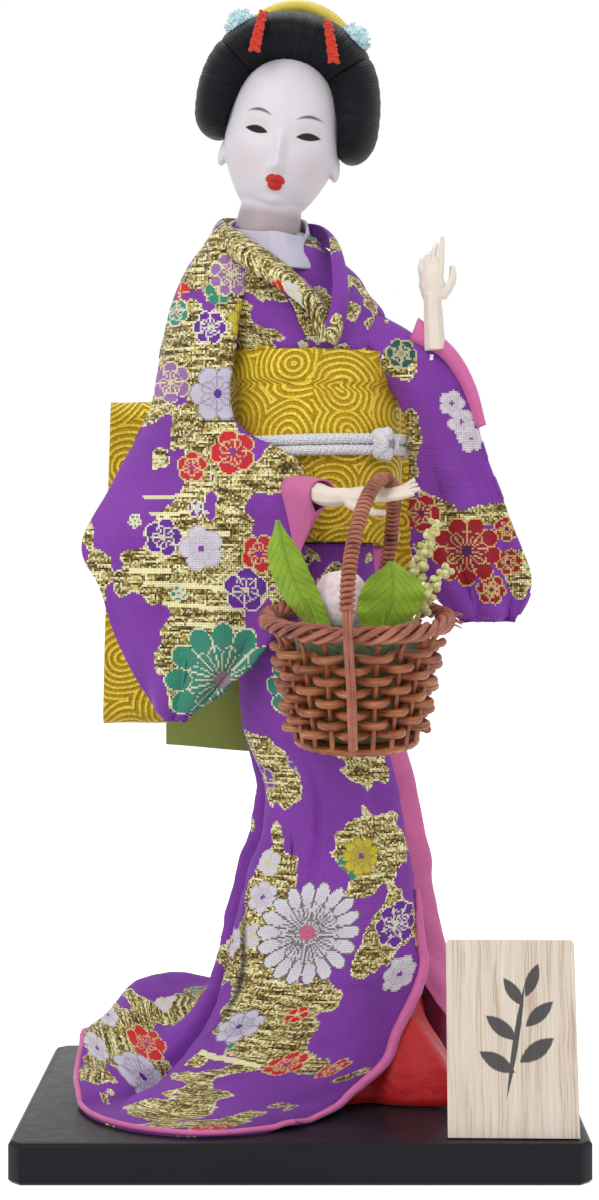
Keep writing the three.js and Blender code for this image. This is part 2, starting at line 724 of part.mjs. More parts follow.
function sleeve(side) {
  const [outer, inner] = sleeveOutlines[side].map(curveThrough);
  const middle = (u, v) => {
    const point = outer.getPoint(v).lerp(inner.getPoint(v), u);
    point.y += 1.5 * Math.sin(5 * Math.PI * u + 1) * THREE.MathUtils.smoothstep(v, 0.4, 0.9);
    return point;
  };
  const [top, bottom] = sleeveSwell[side];
  const half = (u, v) => {
    const swell = THREE.MathUtils.lerp(top, bottom, Math.min(1, v * 1.5));
    return 0.8 + swell * Math.sqrt(Math.sin(Math.PI * u));
  };
  return solid(cushionGeometry(middle, half, 7, 10));
}

// The wrist end of the holding arm's sleeve and its lining, a flattened cone that opens at the wrist
const CUFF_RIGHT = [[-3, -11.5, 172.3], [1, -15.5, 171.8], [5.5, -22.5, 171]];

function cuffRight(grow = 0) {
  const path = spread(curveThrough(CUFF_RIGHT), 4);
  return solid(barGeometry(path, (t) => 3.6 + 1.6 * t + grow, 10, 1.5));
}

// Pink lining that stands out of the raised arm's sleeve opening
const CUFF_LEFT = [[[29, -0.5, 213], [37.5, -2, 208], [43, -3, 200], [47, -3.4, 189]],
  [[31.5, -1, 219], [41.5, -2.6, 210], [46.5, -3.4, 201], [49.5, -3.6, 190]]];

function cuffLeft() {
  const [low, high] = CUFF_LEFT.map(curveThrough);
  const middle = (u, v) => low.getPoint(v).lerp(high.getPoint(v), u);
  return solid(cushionGeometry(middle, (u) => 0.5 + 2 * Math.sqrt(Math.sin(Math.PI * u)), 5, 9));
}

// Hands. Along +X lies the hand, +Z is its back.

function hand(fingers, thumb, forearm) {
  const palm = eggGeometry([6.4, 3.9, 2.1], [6, 0, 0], [0, 0, 0], 0, [8, 5]);
  const wrist = barGeometry(spread(curveThrough([forearm, [-2, 0, 0], [3, 0, 0]]), 4), (t) => 3 - 0.6 * t, 7);
  const tapered = (thick) => (t) => thick - 0.45 * t * t;
  const parts = fingers.map((path) => barGeometry(spread(curveThrough(path), 3), tapered(1.15), 5));
  parts.push(barGeometry(spread(curveThrough(thumb), 4), tapered(1.35), 6));
  return joined([palm, wrist, ...parts].map(solid));
}

function handRight() {
  const fingers = [-2.7, -0.95, 0.95, 2.7].map((y, i) => {
    const reach = 22.5 - 1.1 * Math.abs(i - 1);
    return [[9, y * 0.85, 0], [15.5, y, -0.3], [reach, y * 1.2, 0.8 + 0.5 * i]];
  });
  return hand(fingers, [[3, -2.4, -0.8], [8, -4.6, -2.6], [13.5, -4.4, -3.6]], [-7, 4.4, 0]);
}

function handLeft() {
  const fingers = [
    [[8, -2.6, 0], [13, -3.2, -0.2], [18.5, -3.4, -1.2]],
    [[8, -0.9, 0], [13.5, -0.8, -0.4], [17, -0.6, -3.6]],
    [[8, 0.9, 0], [12.8, 1.2, -0.6], [15, 1.2, -4.4]],
    [[7.6, 2.5, 0], [11.6, 3.1, -0.4], [13.8, 3, -3.8]],
  ];
  return hand(fingers, [[2, -2.6, -0.6], [6.6, -5, -2.6], [10.6, -4.2, -4.6]], [-12, 0, 0]);
}

const handPlaces = {
  right: new THREE.Matrix4()
    .makeRotationFromEuler(new THREE.Euler(rad(22), rad(-3), rad(-17), 'ZYX'))
    .setPosition(9.4, -27, 170.4),
  left: new THREE.Matrix4()
    .makeRotationFromEuler(new THREE.Euler(rad(62), rad(-93), 0, 'ZYX'))
    .setPosition(35.2, -2.6, 222),
};

function placedHand(side) {
  const geometry = geometryOf(side === 'right' ? handRight() : handLeft());
  return solid(geometry.applyMatrix4(handPlaces[side]));
}

// Collars

const collarPaths = {
  collar_left: [
    [-7, 22.8, 244], [2.5, 18, 243.5], [6.5, 9, 240], [8.5, 1.5, 234], [10, -2.6, 226], [9, -3.6, 218],
    [6.5, -4, 212.5],
  ],
  collar_right: [
    [-9, 22.5, 244], [-20, 17, 244.5], [-21.5, 8, 242.5], [-16, 0.3, 237.5], [-5, -3, 229.5],
    [3.5, -4, 221.5], [7, -4.2, 212.5],
  ],
};

function collar(name, grow = 0) {
  const path = spread(curveThrough(collarPaths[name]), 11);
  return solid(barGeometry(path, () => COLLAR_HALF + grow, 6, COLLAR_FLAT));
}

// It stands higher at the nape than at the throat
const COLLAR_SLOPE = 0.32;
const COLLAR_FRONT = 242.6;
const collarKeys = [[249, -9, 11, 10.6, 10.4], [240, -9.5, 11, 12.6, 11.4], [232, -8, 11, 14.6, 12.2]];

function innerCollar() {
  const ring = solid(loftGeometry(collarKeys, 0, COLLAR_TOP, COLLAR_LOW, 14, 2));
  return ring.trimByPlane([0, COLLAR_SLOPE, -1], -COLLAR_FRONT);
}

// Head

// Soft features are humps on an egg: each has a place on the face, a size and a height
const features = [
  { at: [0, 16.6], size: [2.1, 5.2], rise: 2.3 },
  { at: [0, 15.6], size: [2, 1.8], rise: 1.3 },
  { at: [7.1, 24.6], size: [4.6, 3], rise: -0.9 },
  { at: [-7.1, 24.6], size: [4.6, 3], rise: -0.9 },
  { at: [0, 12.4], size: [3, 1.1], rise: 0.75 },
  { at: [0, 10.6], size: [2.4, 1.1], rise: 0.7 },
  { at: [0, 5.4], size: [4, 3], rise: 1.1 },
  { at: [8.4, 15], size: [5.5, 5.5], rise: 0.8 },
  { at: [-8.4, 15], size: [5.5, 5.5], rise: 0.8 },
];
const HEAD_MID_Y = 1.5;
const HEAD_SEGMENTS = 20;
const HEAD_RINGS = 15;

function headPoint(angle, share, grow = 0) {
  const tall = (SKULL_HIGH - SKULL_LOW) / 2;
  const up = Math.cos(Math.PI * share);
  const z = (SKULL_HIGH + SKULL_LOW) / 2 + (tall + grow) * up;
  const level = Math.sin(Math.PI * share);
  const fullness = up < 0 ? 0.62 : 0.8;
  const jaw = 1 - 0.25 * THREE.MathUtils.smoothstep(-up, -0.05, 1.15) ** 1.3;
  const wide = (SKULL_WIDTH / 2) * level ** fullness * jaw + grow;
  const deep = (SKULL_DEPTH / 2) * level ** 0.8 + grow;
  const front = Math.cos(angle);
  const nape = front < 0 ? 1 - 0.3 * THREE.MathUtils.smoothstep(-up, 0, 0.9) : 1;
  const point = vec(wide * Math.sin(angle), HEAD_MID_Y - deep * front * nape, z);
  if (front > 0 && grow === 0) {
    for (const { at, size, rise } of features) {
      const away = ((point.x - at[0]) / size[0]) ** 2 + ((z - at[1]) / size[1]) ** 2;
      point.y -= rise * Math.exp(-away) * front;
    }
  }
  return point;
}

function skullGeometry(grow = 0, segments = HEAD_SEGMENTS, rings = HEAD_RINGS) {
  const points = [vec(0, HEAD_MID_Y, SKULL_HIGH + grow)];
  const faces = [];
  for (let j = 1; j < rings; j += 1) {
    for (let i = 0; i < segments; i += 1) {
      points.push(headPoint((2 * Math.PI * i) / segments, j / rings, grow));
    }
  }
  points.push(vec(0, HEAD_MID_Y, SKULL_LOW - grow));
  const at = (i, j) => 1 + (j - 1) * segments + (i % segments);
  for (let i = 0; i < segments; i += 1) {
    faces.push([0, at(i, 1), at(i + 1, 1)]);
    for (let j = 1; j < rings - 1; j += 1) {
      faces.push([at(i, j), at(i, j + 1), at(i + 1, j + 1)], [at(i, j), at(i + 1, j + 1), at(i + 1, j)]);
    }
    faces.push([at(i, rings - 1), points.length - 1, at(i + 1, rings - 1)]);
  }
  return closedGeometry(points, faces);
}

// The neck is round about the turning axis, so the head can turn in the collar
function neckGeometry(grow = 0) {
  const r = NECK_RADIUS + grow;
  const peg = PEG_RADIUS + grow;
  const profile = [[0, -PEG_LENGTH - grow], [peg, -PEG_LENGTH - grow], [peg, -5 - grow], [r + 0.8, -5 - grow],
    [r + 0.6, -2], [r, 4], [r, 9], [0, 14]];
  return new THREE.LatheGeometry(profile.map((p) => new THREE.Vector2(...p)), 22).rotateX(Math.PI / 2);
}

function ears(grow = 0) {
  return [1, -1].map((side) => {
    const place = [side * 15.6, 1.6, 19.5];
    return solid(eggGeometry([1.3, 2.6, 4], place, [0, side * -10, 0], grow, [8, 5]));
  });
}

function head() {
  return joined([solid(skullGeometry()), solid(neckGeometry()), ...ears()]);
}

// Hair, combed back from the face: an arch parted into a front roll and two wings, with a bun behind.
// Left and right are the doll's own.
const HAIR_SIDE = HAIR_WIDTH / 2;
const hairArch = curveThrough([
  [7 - HAIR_SIDE, 2, 23.5], [6.4 - HAIR_SIDE, 2, 29], [6.8 - HAIR_SIDE, 1.5, 36], [9.6 - HAIR_SIDE, 1, 43],
  [-8.6, 0, 48.8], [0, -0.5, HAIR_TOP - 7.7], [8.6, 0, 49],
  [HAIR_SIDE - 9.6, 1, 43.5], [HAIR_SIDE - 6.8, 1.5, 36.5],
  [HAIR_SIDE - 5.8, 2, 29], [HAIR_SIDE - 5.6, 2, 22],
]);
const ARCH_DEPTH = 13;
const ARCH_FLAT = 0.58;
const ARCH_ROUNDING = 0.11;
const ARCH_ROUNDS = 20;
const PARTING = 0.31;

function archGeometry(grow) {
  const radius = (t) => {
    const fullness = 0.82 + 0.18 * Math.sin(Math.PI * t);
    const end = Math.min(1, Math.min(t, 1 - t) / ARCH_ROUNDING);
    return ARCH_DEPTH * fullness * Math.sqrt(0.12 + 0.88 * (1 - (1 - end) ** 2)) + grow;
  };
  return barGeometry(spread(hairArch, ARCH_ROUNDS), radius, 14, ARCH_FLAT);
}

// The part of the arch between two shares of its length; the partings are cut square to it
function archPiece(from, to, grow) {
  let piece = solid(archGeometry(grow));
  for (const [share, way] of [[from, 1], [to, -1]]) {
    if (share > 0 && share < 1) {
      const ahead = hairArch.getTangent(share).multiplyScalar(way);
      piece = piece.trimByPlane(ahead.toArray(), ahead.dot(hairArch.getPoint(share)) + GAP / 2 - grow);
    }
  }
  return piece;
}

const hairForms = {
  hair_front: (grow) => archPiece(PARTING, 1 - PARTING, grow),
  hair_wing_right: (grow) => archPiece(0, PARTING, grow),
  hair_wing_left: (grow) => archPiece(1 - PARTING, 1, grow),
  hair_back: (grow) => solid(eggGeometry([17, 12.5, 17.5], [0, 11.5, 31.5], [10, 0, 0], grow, [12, 8])),
  hair_bun: (grow) => solid(eggGeometry([12, 10, 8.6], [0, 14, 49], [24, 0, 0], grow, [12, 8])),
};

function faceOpening() {
  const window = new THREE.CylinderGeometry(1, 1, 30, 20).scale(15.6, 1, 21.5);
  return solid(window.translate(0, -13, 22));
}

function hairPieces() {
  const skull = solid(skullGeometry(GAP + 0.6, 14, 10));
  const neck = solid(neckGeometry(GAP));
  const made = {};
  let taken = joined([skull, neck, ...ears(GAP), faceOpening()]);
  for (const [name, form] of Object.entries(hairForms)) {
    made[name] = largest(cut(form(0), taken));
    taken = taken.add(form(GAP));
  }
  return { made, taken };
}

function bandGeometry(grow = 0) {
  const arc = [];
  for (let i = 0; i <= 10; i += 1) {
    const angle = rad(-52 + (104 * i) / 10);
    arc.push(vec(17 * Math.sin(angle), 5, 42.5 + 18.6 * Math.cos(angle)));
  }
  return barGeometry(arc, () => 2.6 + grow, 6, 0.75);
}

const ribbonPlaces = { ribbon_right: [-9.2, -4], ribbon_left: [8.4, 20] };

function ribbon(name, taken) {
  const [x, slant] = ribbonPlaces[name];
  const middle = (u, v) => {
    const rise = 56 - 9 * v;
    return vec(x + 3.2 * (u - 0.5) + slant * 0.1 * v, -6 - 9 * Math.sqrt(v) - 0.4 * Math.sin(18 * v), rise);
  };
  return largest(cut(solid(cushionGeometry(middle, () => 1.5, 2, 8)), taken));
}

const pompomPlaces = { pompom_right: [-15.6, -3, 54.4], pompom_left: [15.4, -3, 55] };

function pompom(name, taken) {
  const ball = new THREE.IcosahedronGeometry(POMPOM_RADIUS, 1);
  const place = ball.attributes.position;
  for (let i = 0; i < place.count; i += 1) {
    const point = vec(place.getX(i), place.getY(i), place.getZ(i));
    const bump = Math.sin(1.9 * point.x + 1) * Math.sin(2.1 * point.y) * Math.sin(1.7 * point.z + 2);
    point.multiplyScalar(1 + 0.09 * bump);
    place.setXYZ(i, point.x, point.y, point.z);
  }
  return largest(cut(solid(ball.translate(...pompomPlaces[name])), taken));
}

// Basket

const wallRadius = (z) => THREE.MathUtils.lerp(BASKET_FOOT_RADIUS, BASKET_TOP_RADIUS, z / BASKET_HEIGHT);
const around = (radius, angle, z) => vec(radius * Math.cos(angle), radius * Math.sin(angle), z);

function basketFrame() {
  const floor = solid(discGeometry(BASKET_FOOT_RADIUS + STAKE_RADIUS, 0, BASKET_FLOOR, 28));
  const stakes = [];
  for (let k = 0; k < STAKES; k += 1) {
    const angle = (2 * Math.PI * k) / STAKES;
    const path = [[0.8, 0], [BASKET_HEIGHT - 1.4, 0], [BASKET_HEIGHT + 0.6, 1.2]].map(
      ([z, out]) => around(wallRadius(z) + out, angle, z));
    stakes.push(solid(barGeometry(path, () => STAKE_RADIUS, 4)));
  }
  return joined([floor, ...stakes]);
}

// One long cane runs round in a rising turn, outside one stake and inside the next.
// The count of stakes is odd, so each row passes them the other way than the row below.
function weavePath() {
  const reach = STAKE_RADIUS + CANE_RADIUS + SEAT;
  const low = BASKET_FLOOR + CANE_RADIUS + GAP;
  const high = BASKET_HEIGHT - CANE_RADIUS - 1.6;
  const steps = STAKES * WEAVE_ROWS;
  const points = [];
  for (let i = 0; i <= steps; i += 1) {
    const z = low + ((high - low) * i) / steps;
    points.push(around(wallRadius(z) + reach * Math.cos(Math.PI * i), (2 * Math.PI * i) / STAKES, z));
  }
  return points;
}

// The border is one cane laid twice round and twisted about itself
function rimPath() {
  const steps = RIM_TWISTS * 4;
  const points = [];
  for (let i = 0; i < steps; i += 1) {
    const turn = (4 * Math.PI * i) / steps;
    const twist = (turn * RIM_TWISTS) / 2;
    const swing = RIM_CANE + GAP;
    const radius = RIM_RADIUS - 1.3 + swing * Math.cos(twist);
    points.push(around(radius, turn, BASKET_HEIGHT + RIM_RISE + swing * Math.sin(twist)));
  }
  return points;
}

const handleCurve = curveThrough([
  [-1.2, -20, 3], [-1.7, -23, 19], [-2.6, -27, 33], [-2.6, -24, 45], [-0.5, -14, 57], [3, -3, 65],
  [HANDLE_LEAN_X, HANDLE_LEAN_Y, HANDLE_TOP],
  [9.5, 17, 63.8], [9.8, 24, 54.6], [8.6, 27.2, 43], [7.4, 26.4, 33], [5.6, 22.7, 19], [4.6, 19.8, 3],
]);

function windingPath() {
  const steps = WINDING_TURNS * 6;
  const reach = HANDLE_CORE + GAP + WINDING_RADIUS;
  const points = [];
  for (let i = 0; i <= steps; i += 1) {
    const share = WINDING_START + ((1 - 2 * WINDING_START) * i) / steps;
    const centre = handleCurve.getPointAt(share);
    const ahead = handleCurve.getTangentAt(share);
    const across = vec(1, 0, 0).addScaledVector(ahead, -ahead.x).normalize();
    const beside = ahead.clone().cross(across);
    const angle = (2 * Math.PI * i) / 6;
    centre.addScaledVector(across, reach * Math.cos(angle)).addScaledVector(beside, reach * Math.sin(angle));
    points.push(centre);
  }
  return points;
}

const leafShapes = {
  leaf_right: { foot: [-9, -11.5, 31.5], tip: [-20, -12, 59], width: 9.5, bend: -2 },
  leaf_left: { foot: [6, -9.5, 31.5], tip: [8.5, -14, 49], width: 16, bend: 1.5 },
};

function leaf(name) {
  const { foot: low, tip, width, bend } = leafShapes[name];
  const [a, b] = [vec(...low), vec(...tip)];
  const middle = (u, v) => {
    const point = a.clone().lerp(b, v);
    const half = width * (0.1 + 0.9 * Math.sin(Math.PI * Math.min(1, v * 0.86 + 0.12)) ** 0.8);
    point.x += half * (u - 0.5) + bend * Math.sin(Math.PI * v);
    point.y += 2.2 * Math.abs(u - 0.5) * 2 + 1.6 * v * v;
    return point;
  };
  const stalkPath = [vec(a.x, a.y, a.z - LEAF_STALK), vec(a.x, a.y, a.z), a.clone().lerp(b, 0.3)];
  const stalk = barGeometry(stalkPath, () => STALK_RADIUS, 5);
  return joined([solid(cushionGeometry(middle, () => 0.4, 4, 7)), solid(stalk)]);
}

const sprayPaths = {
  flower_spray_1: [[8, 3, 22], [13.5, 2, 38], [16.5, 1, 48], [20, 1, 57]],
  flower_spray_2: [[10.5, -3, 22], [16.5, -3, 36], [20, -3, 42.5], [23.5, -3, 46]],
};

function spray(name, count) {
  const curve = curveThrough(sprayPaths[name]);
  const parts = [solid(barGeometry(spread(curve, 6), () => SPRAY_RADIUS, 5))];
  for (let i = 0; i < count; i += 1) {
    const point = curve.getPointAt(0.5 + (0.5 * i) / (count - 1));
    const angle = 2.4 * i;
    point.add(vec(1.5 * Math.cos(angle), 1.5 * Math.sin(angle), 0.5 * Math.sin(3 * angle)));
    const bead = new THREE.IcosahedronGeometry(2 - 0.5 * (i / count), 0);
    parts.push(solid(bead.rotateZ(angle).translate(...point)));
  }
  return joined(parts);
}

function foamBlock(stems) {
  const inside = STAKE_RADIUS + 2 * CANE_RADIUS + SEAT + GAP;
  const [low, high] = [BASKET_FLOOR + GAP, BASKET_HEIGHT + 1.2];
  const [narrow, wide] = [low, BASKET_HEIGHT].map((z) => wallRadius(z) - inside);
  const profile = [[0, low], [narrow, low], [wide, high], [0, high]];
  const block = new THREE.LatheGeometry(profile.map((p) => new THREE.Vector2(...p)), 20).rotateX(Math.PI / 2);
  return cut(solid(block), ...stems);
}

// Putting it together

const doll = new THREE.Group();

doll.add(mesh('base_plinth', basePlinth(), 'lacquer'));
doll.add(mesh('support_rod', supportRod(), 'steel'));
doll.add(mesh('rod_screw', rodScrew(), 'steel'));

const plaqueBoard = mesh('plaque', plaque(), 'paleWood');
plaqueBoard.position.set(PLAQUE_LEFT + PLAQUE_WIDTH / 2, PLAQUE_FOOT_Y + PLAQUE_THICKNESS, HEM_Z);
plaqueBoard.rotation.set(rad(-PLAQUE_LEAN), 0, rad(PLAQUE_TURN), 'ZYX');
doll.add(plaqueBoard);

const feet = Object.entries(FEET).map(([name, place]) => {
  doll.add(mesh(name, foot(...place), 'sock'));
  return foot(...place, GAP);
});

const coreOffset = -2 * LAYER - CLOTH - CLOTH_GAP - 2.2;
const bodyForm = solid(loftGeometry(skirtKeys, coreOffset, WAIST_Z - 1, HEM_Z, 12, 5));
doll.add(mesh('body_form', cut(bodyForm, rodHole, ...feet), 'padding'));
const underSkirt = solid(ringSheet(underSkirtPoint, CLOTH, 20, 5));
doll.add(mesh('under_skirt', cut(underSkirt, ...feet), 'redSatin'));
const lining = solid(thickenedSheet(liningPoint, CLOTH, 11, 9, HEM_Z));
doll.add(mesh('skirt_lining', cut(lining, ...feet), 'pinkSatin'));
doll.add(mesh('kimono_skirt', thickenedSheet(kimonoPoint, -CLOTH, 22, 13, HEM_Z), 'brocade'));

const headGroup = new THREE.Group();
headGroup.position.set(HEAD_X, HEAD_Y, HEAD_Z);
headGroup.rotation.set(0, rad(HEAD_ROLL), rad(HEAD_YAW), 'YZX');
headGroup.updateMatrix();
const neckRoom = solid(neckGeometry(GAP).applyMatrix4(headGroup.matrix));

const wires = {};
for (const side of ['right', 'left']) {
  doll.add(mesh(`arm_wire_${side}`, armWire(side), 'steel'));
  wires[side] = armWire(side, GAP);
}

const core = solid(loftGeometry(torsoKeys, -CORE_INSET, CORE_TOP, OBI_LOW, 12, 6));
doll.add(mesh('torso_core', largest(cut(core, rodHole, neckRoom, wires.right, wires.left)), 'padding'));

const bodiceOut = solid(loftGeometry(torsoKeys, 0, BODICE_TOP, OBI_HIGH + GAP, 20, 5));
const coreRoom = solid(loftGeometry(torsoKeys, SEAT - CORE_INSET, CORE_TOP, OBI_LOW, 12, 6, SEAT));
const bodiceRoom = solid(loftGeometry(torsoKeys, GAP, BODICE_TOP + GAP, OBI_HIGH - 1, 20, 5));
const ringRoom = solid(loftGeometry(collarKeys, GAP, COLLAR_TOP, COLLAR_LOW, 14, 2, GAP));
doll.add(mesh('inner_collar', largest(cut(innerCollar(), neckRoom, coreRoom)), 'paleCloth'));
const bodice = cut(bodiceOut, coreRoom, neckRoom, ringRoom, wires.right, wires.left);
doll.add(mesh('bodice', largest(bodice), 'brocade'));

const collarRooms = [];
for (const name of Object.keys(collarPaths)) {
  const obiTop = solid(obiRing(OBI_FACE + 4, OBI_LOW, OBI_HIGH + GAP));
  const band = largest(cut(collar(name), bodiceRoom, ringRoom, neckRoom, obiTop, ...collarRooms));
  doll.add(mesh(name, band, 'brocade'));
  collarRooms.push(collar(name, GAP));
}

doll.add(mesh('obi', obi(), 'goldBrocade'));
doll.add(mesh('obi_cord', obiCord(), 'cord'));
doll.add(mesh('obi_knot', obiKnot(), 'cord'));
doll.add(mesh('obi_pad', obiPad(), 'padding'));
doll.add(mesh('obi_bow', obiBow(), 'goldBrocade'));
doll.add(mesh('obi_tail', obiTail(), 'greenLining'));

const obiRoom = solid(obiRing(OBI_FACE, OBI_LOW - 1, OBI_HIGH + GAP));
const cordRoom = solid(obiRing(OBI_FACE + 2 * CORD_RADIUS + GAP, CORD_Z - 5.5, CORD_Z + 5.5));
const hands = { right: placedHand('right'), left: placedHand('left') };
for (const side of ['right', 'left']) {
  doll.add(mesh(`hand_${side}`, largest(hands[side].subtract(wires[side])), 'skin'));
}
const forearmRoom = (path, radius) => solid(barGeometry(spread(curveThrough(path), 4), () => radius, 10));
const forearms = {
  right: forearmRoom([[1, -15.5, 171.8], [4, -21, 171], [9.4, -27, 170.4]], 3.9),
  left: forearmRoom([[34.6, -1.9, 208], [35.2, -2.6, 222]], 4.8),
};
const cuffs = {
  right: largest(cut(cuffRight(), forearms.right, wires.right)),
  left: largest(cut(cuffLeft(), forearms.left, wires.left)),
};
const cuffRooms = { right: cuffRight(GAP), left: cuffLeft() };
const chestRooms = [bodiceRoom, ringRoom, knotSeat(), ...collarRooms, obiRoom, cordRoom];
for (const side of ['right', 'left']) {
  const bag = cut(sleeve(side), ...chestRooms, wires[side], forearms[side], cuffRooms[side]);
  doll.add(mesh(`sleeve_${side}`, largest(bag), 'brocade'));
  doll.add(mesh(`sleeve_${side}_cuff`, cuffs[side], 'pinkSatin'));
}

const { made, taken } = hairPieces();
headGroup.add(mesh('head', head(), 'porcelain'));
for (const [name, body] of Object.entries(made)) {
  headGroup.add(mesh(name, body, 'hair'));
}
headGroup.add(mesh('hair_band', largest(cut(solid(bandGeometry()), taken)), 'band'));
const bandTaken = taken.add(solid(bandGeometry(GAP)));
for (const name of Object.keys(ribbonPlaces)) {
  headGroup.add(mesh(name, ribbon(name, taken), 'redRibbon'));
}
for (const name of Object.keys(pompomPlaces)) {
  headGroup.add(mesh(name, pompom(name, bandTaken), 'fluff'));
}
doll.add(headGroup);

const basket = new THREE.Group();
basket.position.set(BASKET_X, BASKET_Y, BASKET_Z);
basket.rotation.set(rad(BASKET_TILT), 0, 0);
const weave = weavePath();
const winding = windingPath();
basket.add(mesh('basket_frame', basketFrame(), 'cane'));
basket.add(mesh('basket_weave', barGeometry(weave, () => CANE_RADIUS, 4), 'cane'));
basket.add(mesh('basket_rim', loopGeometry(rimPath(), RIM_CANE, 4, (p) => p.clone().setZ(0)), 'cane'));
basket.add(mesh('basket_handle', barGeometry(spread(handleCurve, 24), () => HANDLE_CORE, 5), 'cane'));
basket.add(mesh('handle_winding', barGeometry(winding, () => WINDING_RADIUS, 4), 'cane'));
const stems = [];
for (const name of Object.keys(leafShapes)) {
  basket.add(mesh(name, leaf(name), 'leaf'));
  const [x, y, z] = leafShapes[name].foot;
  const stalkPath = [vec(x, y, z - LEAF_STALK - GAP), vec(x, y, z)];
  stems.push(solid(barGeometry(stalkPath, () => STALK_RADIUS + GAP, 5)));
}
for (const [name, count] of [['flower_spray_1', 6], ['flower_spray_2', 4]]) {
  const bunch = spray(name, count);
  basket.add(mesh(name, bunch, 'blossom'));
  stems.push(solid(barGeometry(spread(curveThrough(sprayPaths[name]), 6), () => SPRAY_RADIUS + GAP, 5)));
}
const budSize = [BUD_RADIUS, BUD_RADIUS, BUD_RADIUS * 1.05];
basket.add(mesh('flower_bud', eggGeometry(budSize, [-4, -2.5, 38], [0, 0, 0], 0, [14, 9]), 'bud'));
basket.add(mesh('flower_foam', foamBlock(stems), 'foam'));
doll.add(basket);

console.log('least gap of the woven cane to itself, mm:', leastSelfGap(weave, CANE_RADIUS, 4));
console.log('least gap of the handle winding to itself, mm:', leastSelfGap(winding, WINDING_RADIUS, 4));

export default doll;
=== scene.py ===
"""Dresses the solids of a kimono doll on its board with cloth, hair, cane and painted surfaces."""

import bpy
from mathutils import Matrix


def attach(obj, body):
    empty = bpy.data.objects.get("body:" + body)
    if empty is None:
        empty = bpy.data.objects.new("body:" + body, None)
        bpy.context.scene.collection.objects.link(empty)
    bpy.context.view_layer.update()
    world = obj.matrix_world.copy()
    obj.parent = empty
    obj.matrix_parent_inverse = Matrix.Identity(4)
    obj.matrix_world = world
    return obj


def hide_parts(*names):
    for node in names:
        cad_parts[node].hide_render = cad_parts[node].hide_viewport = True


bl_info = {
    "name": "Kimono Doll with a Flower Basket",
    "version": (1, 0, 0),
    "blender": (4, 5, 0),
    "location": "View3D > Sidebar > Kimono Doll",
    "description": "Dresses the solids of a kimono doll with cloth, hair, cane and painted surfaces",
    "category": "Object",
}

from math import cos, degrees, pi, radians, sin

import bpy
import numpy as np
from bpy.props import FloatProperty, FloatVectorProperty, PointerProperty
from mathutils import Euler, Matrix

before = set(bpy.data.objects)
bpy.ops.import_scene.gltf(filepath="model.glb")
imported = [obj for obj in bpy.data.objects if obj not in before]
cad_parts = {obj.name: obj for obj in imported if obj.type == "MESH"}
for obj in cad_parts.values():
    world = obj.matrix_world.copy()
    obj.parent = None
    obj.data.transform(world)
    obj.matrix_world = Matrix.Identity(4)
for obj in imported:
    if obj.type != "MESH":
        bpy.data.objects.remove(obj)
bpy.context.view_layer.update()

MM = 0.001
UV_UNIT = 0.01  # 1 in a UV map stands for 100 mm
TAU = 2 * pi


# Working on one object, as by hand


def pick(obj):
    """Leaves one object selected and active."""
    bpy.ops.object.select_all(action="DESELECT")
    obj.select_set(True)
    bpy.context.view_layer.objects.active = obj


def edit(obj, *steps):
    """Runs edit-mode steps on all of an object's mesh."""
    pick(obj)
    bpy.ops.object.mode_set(mode="EDIT")
    bpy.ops.mesh.select_all(action="SELECT")
    for step in steps:
        step()
    bpy.ops.object.mode_set(mode="OBJECT")


def modify(obj, kind, **settings):
    """Adds a modifier with its settings and applies it."""
    pick(obj)
    modifier = obj.modifiers.new(kind.title(), kind)
    for key, value in settings.items():
        setattr(modifier, key, value)
    bpy.ops.object.modifier_apply(modifier=modifier.name)


def points_of(obj):
    flat = np.empty(len(obj.data.vertices) * 3, np.float32)
    obj.data.vertices.foreach_get("co", flat)
    return flat.reshape(-1, 3).astype(float)


def move_points(obj, points):
    obj.data.vertices.foreach_set("co", np.asarray(points, np.float32).ravel())
    obj.data.update()


def added(name):
    """Names what an operator has just added, and frees it from its place and scale."""
    obj = bpy.context.object
    obj.name = obj.data.name = name
    bpy.ops.object.transform_apply(location=True, rotation=True, scale=True)
    return obj


def write_uv(obj, per_point):
    """Writes a UV map from one pair of values for each point of the mesh."""
    corners = np.empty(len(obj.data.loops), np.int32)
    obj.data.loops.foreach_get("vertex_index", corners)
    layer = obj.data.uv_layers.active or obj.data.uv_layers.new(name="UVMap")
    layer.data.foreach_set("uv", (per_point[corners] * UV_UNIT).ravel())


def cloth(name, place, across, along, ring=True, middle=0.5, lay=None):
    """A grid shaped by place(u, v), in millimetres; its UV map is lay(u, v), or the cloth's real lengths."""
    bpy.ops.object.select_all(action="DESELECT")
    bpy.ops.mesh.primitive_grid_add(x_subdivisions=across, y_subdivisions=along, size=1)
    obj = added(name)
    flat = points_of(obj)
    u, v = np.round(flat[:, 0] + 0.5, 6), np.round(flat[:, 1] + 0.5, 6)
    order = np.lexsort((u, v))
    columns = len(np.unique(u))
    points = place(u, v)
    table = points[order].reshape(-1, columns, 3)
    wide = np.zeros(table.shape[:2])
    wide[:, 1:] = np.cumsum(np.linalg.norm(np.diff(table, axis=1), axis=2), axis=1)
    wide -= wide[:, [round(middle * (columns - 1))]]
    long = np.zeros(table.shape[:2])
    long[1:] = np.cumsum(np.linalg.norm(np.diff(table, axis=0), axis=2), axis=0)
    lengths = np.empty((len(points), 2))
    lengths[order] = np.stack([wide, long], axis=2).reshape(-1, 2)
    write_uv(obj, lengths if lay is None else lay(u, v))
    move_points(obj, points * MM)
    if ring:
        edit(obj, lambda: bpy.ops.mesh.remove_doubles(threshold=1e-6))
    return obj


def thicken(obj, thickness, offset=-1.0):
    modify(obj, "SOLIDIFY", thickness=thickness * MM, offset=offset)


def face_out(obj):
    """Turns the faces of a closed shell outwards."""
    edit(obj, lambda: bpy.ops.mesh.normals_make_consistent(inside=False))


